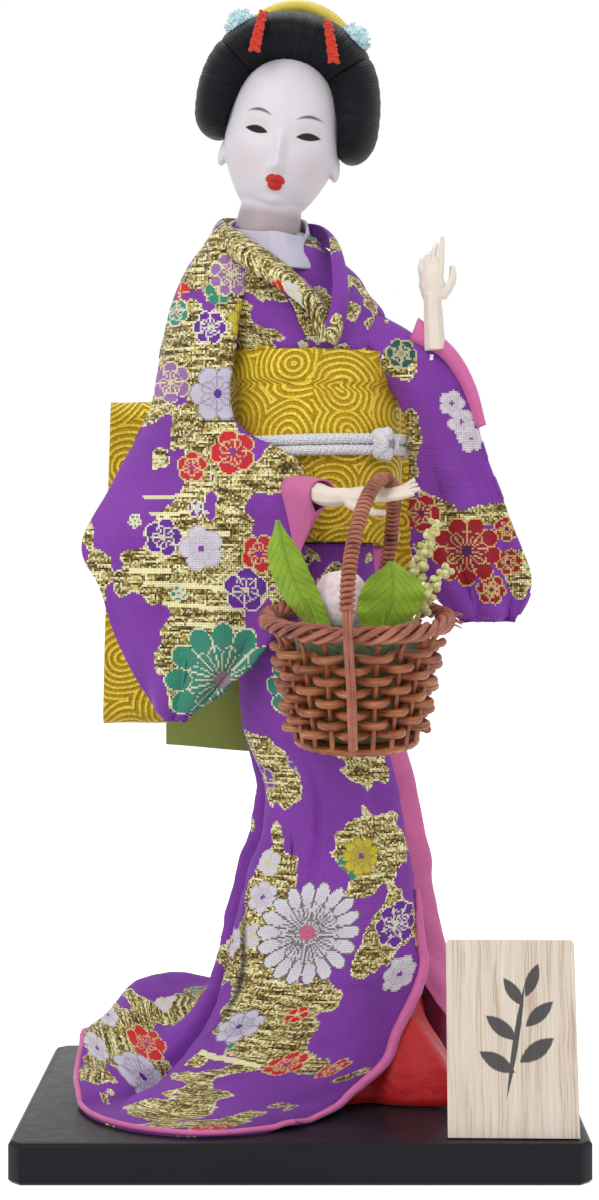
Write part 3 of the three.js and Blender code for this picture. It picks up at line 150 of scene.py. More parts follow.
def ball(name, place, segments, rings):
    """A sphere whose points are moved to place(angle, share): 0 is the front, and the share runs down."""
    bpy.ops.object.select_all(action="DESELECT")
    bpy.ops.mesh.primitive_uv_sphere_add(segments=segments, ring_count=rings, radius=1)
    obj = added(name)
    flat = points_of(obj)
    angle = np.arctan2(flat[:, 0], -flat[:, 1])
    share = np.arccos(np.clip(flat[:, 2], -1, 1)) / pi
    move_points(obj, place(angle, share) * MM)
    return obj


def strand(name, paths, radius, detail=2, closed=False, radii=None):
    """Round strands along paths in millimetres, with real lengths along them as the UV map."""
    bpy.ops.object.select_all(action="DESELECT")
    bpy.ops.curve.primitive_nurbs_path_add()
    obj = added(name)
    curve = obj.data
    curve.splines.clear()
    for path in paths:
        line = curve.splines.new("POLY")
        line.points.add(len(path) - 1)
        line.points.foreach_set("co", np.c_[np.asarray(path) * MM, np.ones(len(path))].ravel())
        if radii is not None:
            line.points.foreach_set("radius", radii(np.linspace(0, 1, len(path))))
        line.use_cyclic_u = closed
    curve.dimensions = "3D"
    curve.bevel_depth = radius * MM
    curve.bevel_resolution = detail
    curve.use_fill_caps = not closed
    pick(obj)
    bpy.ops.object.convert(target="MESH")
    obj = bpy.context.object
    layer = obj.data.uv_layers.active
    if layer is not None:
        uv = np.empty(len(layer.data) * 2, np.float32)
        layer.data.foreach_get("uv", uv)
        mean = np.mean([np.linalg.norm(np.diff(path, axis=0), axis=1).sum() for path in paths])
        scaled = uv.reshape(-1, 2) * [mean * UV_UNIT, TAU * radius * UV_UNIT]
        layer.data.foreach_set("uv", scaled.ravel())
    return obj


def join(name, *objects):
    """Makes one object of several."""
    bpy.ops.object.select_all(action="DESELECT")
    for obj in objects:
        obj.select_set(True)
    bpy.context.view_layer.objects.active = objects[0]
    if len(objects) > 1:
        bpy.ops.object.join()
    obj = bpy.context.object
    obj.name = obj.data.name = name
    return obj


def copy_of(node, name):
    """A merged copy of a CAD node, to be refined."""
    pick(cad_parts[node])
    bpy.ops.object.duplicate()
    obj = bpy.context.object
    obj.name = obj.data.name = name
    obj.data.materials.clear()
    edit(obj, lambda: bpy.ops.mesh.remove_doubles(threshold=2e-6))
    return obj


def rounded(obj, voxel, smooth, times):
    """Makes one skin of a piece and softens its creases."""
    modify(obj, "REMESH", mode="VOXEL", voxel_size=voxel * MM)
    modify(obj, "SMOOTH", factor=smooth, iterations=times)


def done(obj, material, body, slot, *nodes):
    """Gives a finished piece its material and its body, and hides the CAD nodes it stands for; its record
    slot is not used.
    """
    obj.data.materials.clear()
    obj.data.materials.append(material)
    obj.data.polygons.foreach_set("use_smooth", [True] * len(obj.data.polygons))
    obj.data.update()
    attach(obj, body)
    if nodes:
        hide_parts(*nodes)
    return obj


# Curves and forms


def curve_through(points):
    """A centripetal curve through points; it takes shares of its length in points, from 0 to 1."""
    p = np.array(points, float)
    last = len(p) - 1
    p = np.vstack([2 * p[0] - p[1], p, 2 * p[-1] - p[-2]])
    gaps = np.sqrt(np.linalg.norm(np.diff(p, axis=0), axis=1))

    def at(share):
        spot = np.clip(np.asarray(share, float), 0, 1) * last
        k = np.minimum(spot.astype(int), last - 1)
        w = (spot - k)[..., None]
        a, b, c, d = (p[k + n] for n in range(4))
        before, here, after = (gaps[k + n][..., None] for n in range(3))
        leave = (b - a) / before - (c - a) / (before + here) + (c - b) / here
        reach = (c - b) / here - (d - b) / (here + after) + (d - c) / after
        leave, reach = leave * here, reach * here
        square = (3 * (c - b) - 2 * leave - reach) * w**2
        return b + leave * w + square + (2 * (b - c) + leave + reach) * w**3

    return at


def spread(points, count):
    """Points at even steps along the length of a curve."""
    fine = curve_through(points)(np.linspace(0, 1, 40 * len(points)))
    run = np.concatenate([[0], np.cumsum(np.linalg.norm(np.diff(fine, axis=0), axis=1))])
    even = np.linspace(0, run[-1], count)
    return np.stack([np.interp(even, run, fine[:, k]) for k in range(3)], axis=1)


def at_height(keys, height):
    """Reads the sizes at a height from keys whose first value is their height."""
    keys = np.array(keys, float)
    height = np.asarray(height, float)
    k = np.clip(np.searchsorted(-keys[:, 0], -height, side="left") - 1, 0, len(keys) - 2)
    high, low = keys[k], keys[k + 1]
    share = np.clip((high[..., 0] - height) / (high[..., 0] - low[..., 0]), 0, 1)
    eased = 0.5 * share + 0.5 * share * share * (3 - 2 * share)
    return high + (low - high) * eased[..., None]


def smoothstep(value, low, high):
    share = np.clip((value - low) / (high - low), 0, 1)
    return share * share * (3 - 2 * share)


def hump(value, middle, half):
    """A soft hump of height 1 that dies away at a distance on both sides."""
    away = np.minimum(np.abs(value - middle) / half, 1)
    return 0.5 + 0.5 * np.cos(pi * away)


def turned_hump(angle, middle, half):
    return hump((angle - middle + 180) % 360, 180, half)


def stack(x, y, z):
    return np.stack(np.broadcast_arrays(x, y, z), axis=-1).astype(float)


def unit(rows):
    return rows / np.linalg.norm(rows, axis=1, keepdims=True)


def ripple(x, y, z, wave, seed):
    """Soft unevenness from -1 to 1, the same in each run."""
    rng = np.random.default_rng(seed)
    total = 0
    for _ in range(5):
        way = rng.normal(size=3)
        way *= TAU / wave / np.linalg.norm(way) * rng.uniform(0.7, 1.4)
        total = total + np.sin(way[0] * x + way[1] * y + way[2] * z + rng.uniform(0, TAU))
    return total / 3


def pushed(place, depth, step=0.003):
    """Moves a surface along its own normal by depth(u, v), in millimetres."""

    def moved(u, v):
        here = place(u, v)
        du = place(np.minimum(u + step, 1), v) - place(np.maximum(u - step, 0), v)
        dv = place(u, np.minimum(v + step, 1)) - place(u, np.maximum(v - step, 0))
        normal = np.cross(du, dv)
        normal /= np.maximum(np.linalg.norm(normal, axis=1, keepdims=True), 1e-9)
        return here + normal * depth(u, v)[:, None]

    return moved


# Finishes


def both_ways(operation):
    """A field's operator, with the field on its left and on its right."""

    def forward(self, other):
        return self.wiring.math(operation, self, other)

    def backward(self, other):
        return self.wiring.math(operation, other, self)

    return forward, backward


class Field:
    """What a node puts out; sums and products of fields are math nodes."""

    def __init__(self, wiring, socket):
        self.wiring = wiring
        self.socket = socket

    __add__, __radd__ = both_ways("ADD")
    __sub__, __rsub__ = both_ways("SUBTRACT")
    __mul__, __rmul__ = both_ways("MULTIPLY")
    __truediv__, __rtruediv__ = both_ways("DIVIDE")


def operation(kind):
    """A method that adds one kind of math node."""
    return lambda self, *values: self.math(kind, *values)


class Wiring:
    """Adds nodes to one tree and joins them, so that a pattern reads as a few lines."""

    absolute = operation("ABSOLUTE")
    sine = operation("SINE")
    cosine = operation("COSINE")
    arctan = operation("ARCTAN2")
    power = operation("POWER")
    modulo = operation("FLOORED_MODULO")
    larger = operation("MAXIMUM")
    smaller = operation("MINIMUM")
    above = operation("GREATER_THAN")
    below = operation("LESS_THAN")
    scaled = operation("MULTIPLY_ADD")

    def __init__(self, tree):
        self.tree = tree

    def node(self, kind, **settings):
        made = self.tree.nodes.new("ShaderNode" + kind)
        for key, value in settings.items():
            setattr(made, key, value)
        return made

    def put(self, socket, value):
        """Joins a socket to a field or another socket, or gives it a plain value."""
        value = getattr(value, "socket", value)
        if isinstance(value, bpy.types.NodeSocket):
            self.tree.links.new(value, socket)
        elif socket.type == "RGBA" and len(value) == 3:
            socket.default_value = (*value, 1)
        else:
            socket.default_value = value

    def fill(self, node, values, output=0):
        """Fills a node's sockets, by name or number, and gives what it puts out."""
        for label, value in values.items():
            self.put(node.inputs[label], value)
        return Field(self, node.outputs[output])

    def math(self, operation, *values):
        return self.fill(self.node("Math", operation=operation), dict(enumerate(values)))

    def vector(self, operation, *values, output=0):
        return self.fill(self.node("VectorMath", operation=operation), dict(enumerate(values)), output)

    def sized(self, place, share):
        """A place times a share."""
        return self.fill(self.node("VectorMath", operation="SCALE"), {0: place, "Scale": share})

    def length(self, place):
        return self.vector("LENGTH", place, output="Value")

    def mix(self, share, first, second, blend="MIX"):
        made = self.node("Mix", data_type="RGBA", blend_type=blend)
        return self.fill(made, {0: share, 6: first, 7: second}, 2)

    def blend(self, share, first, second):
        return self.fill(self.node("Mix", data_type="FLOAT"), {0: share, 2: first, 3: second})

    def spread(self, value, low, high, to_low=0.0, to_high=1.0):
        return self.fill(self.node("MapRange"), dict(enumerate((value, low, high, to_low, to_high))))

    def noise(self, place, scale, detail=2.0, rough=0.5, flat=False, output="Fac"):
        made = self.node("TexNoise", noise_dimensions="2D" if flat else "3D")
        return self.fill(
            made, {"Vector": place, "Scale": scale, "Detail": detail, "Roughness": rough}, output
        )

    def ramp(self, value, stops, smooth=True):
        made = self.node("ValToRGB")
        band = made.color_ramp
        band.interpolation = "EASE" if smooth else "CONSTANT"
        while len(band.elements) < len(stops):
            band.elements.new(0.5)
        for element, (spot, colour) in zip(band.elements, stops):
            element.position = spot
            element.color = (*colour, 1)
        return self.fill(made, {"Fac": value})

    def split(self, place):
        made = self.node("SeparateXYZ")
        self.put(made.inputs[0], place)
        return [Field(self, part) for part in made.outputs]

    def combine(self, x, y, z=0.0):
        return self.fill(self.node("CombineXYZ"), {0: x, 1: y, 2: z})

    def use(self, name, **values):
        """Places a node group, made on first use, and gives its outputs by name."""
        made = self.node("Group")
        made.node_tree = bpy.data.node_groups.get(name) or GROUPS[name]()
        for key, value in values.items():
            self.put(made.inputs[key.replace("_", " ")], value)
        return {part.name: Field(self, part) for part in made.outputs}


KINDS = {"vector": "NodeSocketVector", "value": "NodeSocketFloat", "colour": "NodeSocketColor"}


def new_group(name, inputs, outputs):
    """An empty group with named sockets, its wiring, its inputs as fields, and its outputs."""
    tree = bpy.data.node_groups.new(name, "ShaderNodeTree")
    for label, kind in inputs.items():
        tree.interface.new_socket(label, in_out="INPUT", socket_type=KINDS[kind])
    for label, kind in outputs.items():
        tree.interface.new_socket(label, in_out="OUTPUT", socket_type=KINDS[kind])
    w = Wiring(tree)
    start = tree.nodes.new("NodeGroupInput").outputs
    given = [Field(w, start[label]) for label in inputs]
    return tree, w, given, tree.nodes.new("NodeGroupOutput").inputs


def weave_group():
    """Threads that cross: a bump height, and a shade that is darker between them."""
    tree, w, (place, pitch), out = new_group(
        "crossed threads", {"Place": "vector", "Pitch": "value"}, {"Height": "value", "Shade": "value"}
    )
    x, y, _ = w.split(place)
    across, along = (w.absolute(w.sine(way * pi / pitch)) for way in (x, y))
    height = across * along
    w.put(out["Height"], height)
    w.put(out["Shade"], w.spread(height, 0.0, 0.7, 0.8, 1.06))
    return tree


def petals_group():
    """A ring of petals about a centre: what is inside, the lines round and between them, and how far out."""
    tree, w, (offset, radius, petals, turn), out = new_group(
        "ring of petals",
        {"Offset": "vector", "Radius": "value", "Petals": "value", "Turn": "value"},
        {"Inside": "value", "Line": "value", "Depth": "value"},
    )
    x, y, _ = w.split(offset)
    away = w.length(offset) / radius
    angle = w.arctan(y, x) + turn
    wave = w.absolute(w.cosine(angle * (petals * 0.5)))
    edge = w.scaled(w.power(wave, 0.5), 0.3, 0.7)
    inside = w.above(edge, away)
    rim = w.above(away, edge - 0.5 / radius)
    seam = w.below(wave * away * radius, petals * 0.11)
    seam = seam * w.above(away, 0.22)
    w.put(out["Inside"], inside)
    w.put(out["Line"], inside * w.larger(rim, seam))
    w.put(out["Depth"], away / edge)
    return tree


def blossom_group():
    """One woven blossom laid over a pattern: two rings of petals, gold lines and a heart."""
    tree, w, sockets, out = new_group(
        "woven blossom",
        {
            "Place": "vector", "Colour": "colour", "Gold": "value", "Centre": "vector", "Radius": "value",
            "Petals": "value", "Turn": "value", "Petal Colour": "colour", "Line Colour": "colour",
            "Heart Colour": "colour",
        },
        {"Colour": "colour", "Gold": "value"},
    )
    place, colour, gold, centre, radius, petals, turn, petal_colour, line_colour, heart_colour = sockets
    offset = w.vector("SUBTRACT", place, centre)
    outer = w.use("ring of petals", Offset=offset, Radius=radius, Petals=petals, Turn=turn)
    half_turn = turn + pi / petals
    inner = w.use("ring of petals", Offset=offset, Radius=radius * 0.6, Petals=petals, Turn=half_turn)
    away = w.length(offset)
    heart = w.below(away, radius * 0.14)
    paler = w.mix(w.spread(outer["Depth"], 0.15, 0.9), w.mix(0.3, petal_colour, (0.25, 0.05, 0.3)),
                  petal_colour)
    colour = w.mix(outer["Inside"], colour, paler)
    colour = w.mix(inner["Inside"] * 0.35, colour, petal_colour)
    lines = w.larger(outer["Line"], inner["Line"] * 0.8)
    colour = w.mix(lines, colour, line_colour)
    colour = w.mix(heart, colour, heart_colour)
    gold = gold * (1.0 - outer["Inside"])
    w.put(out["Colour"], colour)
    w.put(out["Gold"], w.larger(gold, lines * 0.7))
    return tree


def cloud_group():
    """Drifting clouds of gold thread on a plain ground, with a bright edge."""
    tree, w, (place, ground, size, share, shift, lift), out = new_group(
        "gold cloud",
        {
            "Place": "vector", "Ground": "colour", "Size": "value", "Share": "value", "Shift": "value",
            "Lift": "value"
        },
        {"Colour": "colour", "Gold": "value"},
    )
    moved = w.vector("ADD", place, w.combine(shift, shift))
    small = w.sized(moved, 1.0 / size)
    form = w.scaled(lift, 0.4, w.noise(small, 1.0, 1.8, 0.6, flat=True))
    level = 1.0 - share
    inside = w.above(form, level)
    edge = inside * w.below(form, level + 0.022)
    x, y, _ = w.split(moved)
    row = w.combine(x * 0.11, y * 0.95)
    streak = w.noise(row, 1.0, 3.0, 0.7, flat=True)
    glint = w.noise(moved, 1.7, 1.0, 0.6, flat=True)
    light = w.scaled(glint - 0.5, 0.75, streak)
    thread = w.ramp(light, GOLD_THREAD)
    colour = w.mix(inside, ground, thread)
    bright = w.ramp(glint, [(0.35, (0.42, 0.36, 0.16)), (0.6, (0.92, 0.88, 0.5))])
    w.put(out["Colour"], w.mix(edge, colour, bright))
    w.put(out["Gold"], inside)
    return tree


def scatter_group():
    """Small five-petalled blossoms, one in some of the cells of a loose grid."""
    tree, w, (place, colour, gold, cell, share, inside), out = new_group(
        "scattered blossoms",
        {
            "Place": "vector", "Colour": "colour", "Gold": "value", "Cell": "value", "Share": "value",
            "Inside": "value"
        },
        {"Colour": "colour", "Gold": "value"},
    )
    small = w.sized(place, 1.0 / cell)
    cells = w.node("TexVoronoi", voronoi_dimensions="2D")
    w.fill(cells, {"Vector": small, "Scale": 1.0, "Randomness": 0.75})
    offset = w.sized(w.vector("SUBTRACT", small, cells.outputs["Position"]), cell)
    chance, size, tint = w.split(cells.outputs["Color"])
    radius = cell * w.scaled(size, 0.14, 0.24)
    ring = w.use("ring of petals", Offset=offset, Radius=radius, Petals=5.0, Turn=tint * TAU)
    shown = w.below(chance, share) * inside
    inside = shown * ring["Inside"]
    petal = w.ramp(tint, SMALL_BLOSSOMS, smooth=False)
    colour = w.mix(inside, colour, petal)
    line = shown * ring["Line"]
    colour = w.mix(line * 0.7, colour, (0.8, 0.75, 0.45))
    heart = inside * w.below(ring["Depth"], 0.22)
    w.put(out["Colour"], w.mix(heart, colour, (0.85, 0.78, 0.3)))
    w.put(out["Gold"], gold * (1.0 - inside))
    return tree


def rings_group():
    """Rings about scattered middles, where the nearest ring lies on top: a height from 0 to 1."""
    tree, w, (place, cell, step), out = new_group(
        "scattered rings", {"Place": "vector", "Cell": "value", "Step": "value"}, {"Height": "value"}
    )
    small = w.sized(place, 1.0 / cell)
    bent = w.vector("ADD", small, w.sized(w.noise(small, 1.1, 1.0, flat=True, output="Color"), 0.16))
    cells = w.node("TexVoronoi", voronoi_dimensions="2D")
    w.fill(cells, {"Vector": bent, "Scale": 1.0, "Randomness": 0.8})
    away = cells.outputs["Distance"] * (cell / step)
    w.put(out["Height"], w.scaled(w.sine(away * TAU), 0.5, 0.5))
    return tree


def mottle_group():
    """Uneven tone, about 1, at a given size."""
    tree, w, (place, size, amount), out = new_group(
        "uneven tone", {"Place": "vector", "Size": "value", "Amount": "value"}, {"Tone": "value"}
    )
    small = w.sized(place, 1.0 / size)
    form = w.noise(small, 1.0, 3.0, 0.6) - 0.5
    w.put(out["Tone"], w.scaled(form, amount * 2.0, 1.0))
    return tree


def grain_group():
    """Fine lines that run along a strand or a board."""
    tree, w, (place, long, fine), out = new_group(
        "fine grain", {"Place": "vector", "Long": "value", "Fine": "value"}, {"Lines": "value"}
    )
    x, y, z = w.split(place)
    drawn = w.combine(x / long, y / fine, z / fine)
    w.put(out["Lines"], w.noise(drawn, 1.0, 3.0, 0.62))
    return tree


GROUPS = {
    "crossed threads": weave_group,
    "ring of petals": petals_group,
    "woven blossom": blossom_group,
    "gold cloud": cloud_group,
    "scattered blossoms": scatter_group,
    "scattered rings": rings_group,
    "uneven tone": mottle_group,
    "fine grain": grain_group,
}
GOLD_THREAD = [
    (0.32, (0.05, 0.032, 0.01)),
    (0.46, (0.24, 0.17, 0.045)),
    (0.56, (0.6, 0.5, 0.18)),
    (0.68, (0.95, 0.9, 0.56)),
]
SMALL_BLOSSOMS = [
    (0.0, (0.82, 0.78, 0.86)),
    (0.36, (0.25, 0.07, 0.45)),
    (0.56, (0.72, 0.02, 0.03)),
    (0.7, (0.8, 0.66, 0.04)),
    (0.84, (0.05, 0.3, 0.2)),
]


def settings():
    """The colours and sizes of the panel."""
    return bpy.context.scene.kimono_doll


def new_material(name, roughness, **shader_values):
    """Makes a material with the constants of its finish, and gives its wiring and its shader's sockets."""
    material = bpy.data.materials.new(name)
    material.use_nodes = True
    shader = material.node_tree.nodes["Principled BSDF"]
    shader.inputs["Roughness"].default_value = roughness
    for label, value in shader_values.items():
        shader.inputs[label.replace("_", " ")].default_value = value
    return Wiring(material.node_tree), shader.inputs


def uv_place(w):
    """The place on a cloth or along a strand, in millimetres."""
    return w.sized(w.node("UVMap").outputs["UV"], 1 / UV_UNIT)


def object_place(w):
    """The place on the object, in millimetres."""
    return w.sized(w.node("TexCoord").outputs["Object"], 1 / MM)


def raise_bump(w, shader, height, depth):
    """Raises the surface by a height from 0 to 1 times a depth in millimetres."""
    bump = w.node("Bump")
    w.fill(bump, {"Strength": 1.0, "Distance": depth * MM, "Height": height})
    w.put(shader["Normal"], bump.outputs["Normal"])


def toned(w, place, colour, size, amount):
    """A colour with an uneven tone."""
    tone = w.use("uneven tone", Place=place, Size=size, Amount=amount)["Tone"]
    return w.mix(1.0, colour, tone, blend="MULTIPLY")


THREAD = 0.5  # woven patterns change from one thread to the next
PETAL_LOOKS = {
    # petal, line, heart
    "white": ((0.86, 0.83, 0.9), (0.2, 0.17, 0.16), (0.72, 0.16, 0.3)),
    "pale": ((0.74, 0.71, 0.84), (0.42, 0.38, 0.46), (0.14, 0.03, 0.34)),
    "plain white": ((0.88, 0.85, 0.92), (0.66, 0.6, 0.66), (0.26, 0.06, 0.42)),
    "lilac": ((0.42, 0.2, 0.5), (0.84, 0.78, 0.46), (0.84, 0.78, 0.46)),
    "purple": ((0.17, 0.035, 0.38), (0.86, 0.82, 0.68), (0.9, 0.86, 0.6)),
    "yellow": ((0.78, 0.66, 0.03), (0.5, 0.38, 0.05), (0.24, 0.06, 0.4)),
    # a copy of red painted in shade, for blossoms that lie in shadow
    "deep red": ((0.4, 0.008, 0.012), (0.7, 0.5, 0.2), (0.1, 0.02, 0.12)),
    "red": ((0.74, 0.03, 0.03), (0.82, 0.6, 0.3), (0.3, 0.06, 0.4)),
    "teal": ((0.045, 0.33, 0.22), (0.84, 0.82, 0.56), (0.42, 0.3, 0.34)),
    # a copy of teal painted in shade, for blossoms that lie in shadow
    "dark teal": ((0.015, 0.11, 0.075), (0.6, 0.56, 0.34), (0.4, 0.34, 0.2)),
}
BRIGHT_BAR = (0.9, 0.86, 0.5)


def oval(w, x, y, centre, half, turn=0.0):
    """How far a place is from an oval's middle, 1 on its edge, and its shares along and across it."""
    x, y = x - float(centre[0]), y - float(centre[1])
    along = x * (cos(turn) / half[0]) + y * (sin(turn) / half[0])
    across = y * (cos(turn) / half[1]) - x * (sin(turn) / half[1])
    return w.length(w.combine(along, across)), along, across


def brocade(name, layout, shift, share):
    """Purple silk with gold clouds and woven blossoms, in millimetres on the cloth.

    Clouds, bars and creases have x, y, two half sizes and a turn in degrees, and a cloud has a lift too. The
    creases are painted dark: shadow along a fold, and a thin seam line.
    A blossom has x, y, a radius, its count of petals and its look. Scatter is the share of small blossoms.
    """
    w, shader = new_material(name, 0.6, Sheen_Weight=0.06, Specular_IOR_Level=0.25)
    place = uv_place(w)
    thread = w.vector("SNAP", place, (THREAD, THREAD, THREAD))
    x, y, _ = w.split(thread)
    lift = 0.0
    for cx, cy, wide, high, turn, height in layout.get("clouds", ()):
        away = oval(w, x, y, (cx, cy), (wide, high), radians(turn))[0]
        lift = lift + w.spread(away, 1.25, 0.5, 0.0, height)
    ground = toned(w, place, settings().purple, 26.0, 0.3)
    cloud = w.use("gold cloud", Place=thread, Ground=ground, Size=16.0, Share=share,
                  Shift=shift, Lift=lift)
    laid = w.use("scattered blossoms", Place=thread, Colour=cloud["Colour"], Gold=cloud["Gold"], Cell=11.5,
                 Share=layout["scatter"], Inside=cloud["Gold"])
    colour, gold = laid["Colour"], laid["Gold"]
    for cx, cy, wide, high, turn in layout.get("bars", ()):
        _, along, across = oval(w, x, y, (cx, cy), (wide, high), radians(turn))
        bar = w.below(w.larger(w.absolute(along), w.absolute(across)), 1.0)
        colour = w.mix(bar, colour, BRIGHT_BAR)
    for number, (cx, cy, radius, petals, kind) in enumerate(layout.get("blossoms", ())):
        petal, line, heart = PETAL_LOOKS[kind]
        laid = w.use("woven blossom", Place=thread, Colour=colour, Gold=gold,
                     Centre=(cx, cy, 0), Radius=radius, Petals=float(petals), Turn=0.37 * number,
                     Petal_Colour=petal, Line_Colour=line, Heart_Colour=heart)
        colour, gold = laid["Colour"], laid["Gold"]
    # painted shadow: creases lay near-black along the deep fold, and along a thin seam line
    for cx, cy, long, wide, turn in layout.get("creases", ()):
        away = oval(w, x, y, (cx, cy), (long, wide), radians(turn))[0]
        colour = w.mix(w.spread(away, 1.0, 0.3, 0.0, 0.85), colour, (0.012, 0.006, 0.015))
    weave = w.use("crossed threads", Place=place, Pitch=settings().thread_pitch / MM)
    w.put(shader["Base Color"], w.mix(1.0, colour, weave["Shade"], blend="MULTIPLY"))
    w.put(shader["Metallic"], gold * 0.45)
    w.put(shader["Roughness"], w.blend(gold, 0.62, 0.42))
    glint = w.noise(place, 2.2, 1.0, 0.6, flat=True)
    raise_bump(w, shader, weave["Height"] + glint * gold, 0.16)


def gold_brocade(name, cell):
    """Golden cloth with raised rings about scattered middles."""
    w, shader = new_material(name, 0.5, Specular_IOR_Level=0.25)
    place = uv_place(w)
    rings = w.use("scattered rings", Place=place, Cell=cell, Step=settings().ring_step / MM)["Height"]
    raised = w.spread(rings, 0.22, 0.62)
    thread = w.vector("SNAP", place, (0.35, 0.35, 0.35))
    glint = w.noise(thread, 1.4, 2.0, 0.7, flat=True)
    worn = w.noise(place, 0.09, 2.0, 0.5, flat=True)
    low = w.mix(w.spread(glint, 0.35, 0.65), (0.4, 0.22, 0.002), (0.6, 0.38, 0.006))
    high = w.mix(w.spread(glint, 0.4, 0.7), settings().gold, (0.92, 0.76, 0.12))
    shown = raised * w.spread(worn, 0.3, 0.55, 0.72, 1.0)
    w.put(shader["Base Color"], toned(w, place, w.mix(shown, low, high), 18.0, 0.3))
    w.put(shader["Metallic"], raised * 0.3)
    w.put(shader["Roughness"], w.spread(glint, 0.3, 0.7, 0.62, 0.36))
    raise_bump(w, shader, raised + glint * 0.5, 0.42)


def satin(name, colour, roughness):
    """Smooth shining cloth with a very fine thread."""
    w, shader = new_material(name, roughness, Sheen_Weight=0.2, Anisotropic=0.4, Specular_IOR_Level=0.3)
    place = uv_place(w)
    weave = w.use("crossed threads", Place=place, Pitch=0.32)
    soft = toned(w, place, colour, 14.0, 0.22)
    w.put(shader["Base Color"], w.mix(0.3, soft, w.mix(1.0, soft, weave["Shade"], blend="MULTIPLY")))
    puckers = w.noise(place, 0.22, 2.0, 0.5, flat=True)
    raise_bump(w, shader, w.scaled(weave["Height"], 0.06, puckers), 0.5)


def plain_cloth(name, colour, pitch):
    """Matt woven cloth."""
    w, shader = new_material(name, 0.85, Sheen_Weight=0.15)
    place = uv_place(w)
    weave = w.use("crossed threads", Place=place, Pitch=pitch)
    soft = toned(w, place, colour, 9.0, 0.12)
    w.put(shader["Base Color"], w.mix(0.6, soft, w.mix(1.0, soft, weave["Shade"], blend="MULTIPLY")))
    raise_bump(w, shader, weave["Height"], 0.12)


def braid(name, colour):
    """Braided cord: slanting bundles of thread that meet in the middle."""
    w, shader = new_material(name, 0.8, Sheen_Weight=0.3)
    place = uv_place(w)
    x, y, _ = w.split(place)
    slant = w.absolute(w.modulo(y, 1.8) - 0.9)
    bundle = w.absolute(w.sine((x + slant) * (pi / 0.75)))
    soft = toned(w, place, colour, 6.0, 0.08)
    shade = w.spread(bundle, 0.0, 0.5, 0.86, 1.0)
    w.put(shader["Base Color"], w.mix(1.0, soft, shade, blend="MULTIPLY"))
    raise_bump(w, shader, bundle, 0.25)


def hair_finish(name):
    """Combed black hair: fine strands along the UV map's y."""
    w, shader = new_material(name, 0.36, Anisotropic=0.5, Specular_IOR_Level=0.1)
    place = uv_place(w)
    x, y, _ = w.split(place)
    laid = w.combine(y, x)
    fine = w.use("fine grain", Place=laid, Long=16.0, Fine=0.16)["Lines"]
    broad = w.use("fine grain", Place=laid, Long=40.0, Fine=0.9)["Lines"]
    strands = w.scaled(broad, 0.6, fine)
    w.put(
        shader["Base Color"], w.ramp(strands, [(0.5, (0.0015, 0.0015, 0.002)), (1.0, (0.011, 0.012, 0.016))])
    )
    w.put(shader["Roughness"], w.spread(fine, 0.3, 0.7, 0.26, 0.5))
    raise_bump(w, shader, strands, 0.16)


FACE_X = 1.1
EYE_X = 7.05
EYE_Z = 22.7
EYE_HALF = (3.3, 1.25)
BROW_Z = 28.2
BROW_HALF = (3.9, 0.62)
BROW_ARCH = 1.9
MOUTH_Z = 9.6


def face_finish(name):
    """White painted face with brows, eyes and a small red mouth, and painted shade on the neck under the
    chin.
    """
    w, shader = new_material(
        name, 0.42, Specular_IOR_Level=0.25, Subsurface_Weight=0.06, Subsurface_Scale=0.002
    )
    place = w.node("Attribute", attribute_name="head_place").outputs["Vector"]
    x, depth, z = w.split(place)
    front = w.spread(depth, -6.0, -8.5)
    colour = toned(w, place, settings().porcelain, 7.0, 0.03)
    # painted shade under the chin: the front of the neck just below it is darkened
    under = w.spread(z, 5.0, 1.5) * w.spread(depth, -11.5, -9.0, 0.0, 0.85)
    colour = w.mix(under, colour, (0.4, 0.31, 0.32))
    for side in (-1, 1):
        spot = FACE_X + EYE_X * side
        blush = oval(w, x, z, (FACE_X + 9.0 * side, 14.5), (6.5, 6.5))[0]
        colour = w.mix(w.spread(blush, 1.0, 0.2) * 0.2, colour, (0.72, 0.34, 0.42))
        lid = oval(w, x, z, (spot, EYE_Z + 1.4), (3.9, 2.1), 0.15 * side)[0]
        colour = w.mix(w.spread(lid, 1.1, 0.6) * 0.22, colour, (0.56, 0.46, 0.38))
        _, along, across = oval(w, x, z, (spot, EYE_Z), EYE_HALF, 0.15 * side)
        high = w.spread(across, -0.05, 0.05, 1.55, 1.0)
        lens = w.absolute(across) * high + along * along
        colour = w.mix(w.spread(lens, 1.1, 0.95) * front, colour, (0.3, 0.24, 0.2))
        colour = w.mix(w.spread(lens, 0.98, 0.84) * front, colour, (0.006, 0.005, 0.005))
        _, along, across = oval(w, x, z, (spot + 0.3 * side, BROW_Z), BROW_HALF, 0.04 * side)
        arch = w.scaled(along * along, BROW_ARCH, across)
        ends = w.power(w.absolute(along + 0.15 * side), 2.2)
        line = w.absolute(arch) + ends
        faint = w.spread(line, 1.1, 0.3) * front * 0.88
        colour = w.mix(faint, colour, (0.04, 0.03, 0.045))
    upper = [
        oval(w, x, z, (FACE_X + 1.15 * side, MOUTH_Z + 0.7), (1.5, 1.1), -0.35 * side)[0] for side in (-1, 1)
    ]
    lower = oval(w, x, z, (FACE_X, MOUTH_Z - 0.65), (2.0, 1.45))[0]
    lips = w.smaller(w.smaller(*upper), lower)
    halo = w.spread(lips, 1.5, 1.0) * 0.3 * front
    colour = w.mix(halo, colour, (0.85, 0.4, 0.4))
    colour = w.mix(w.spread(lips, 1.06, 0.94) * front, colour, settings().lips)
    crease = oval(w, x, z, (FACE_X, MOUTH_Z + 0.1), (1.9, 0.2))[0]
    colour = w.mix(w.spread(crease, 1.2, 0.6, 0.0, 0.7) * front, colour, (0.25, 0.012, 0.01))
    w.put(shader["Base Color"], colour)
    raise_bump(w, shader, w.noise(place, 0.9, 3.0, 0.6), 0.05)


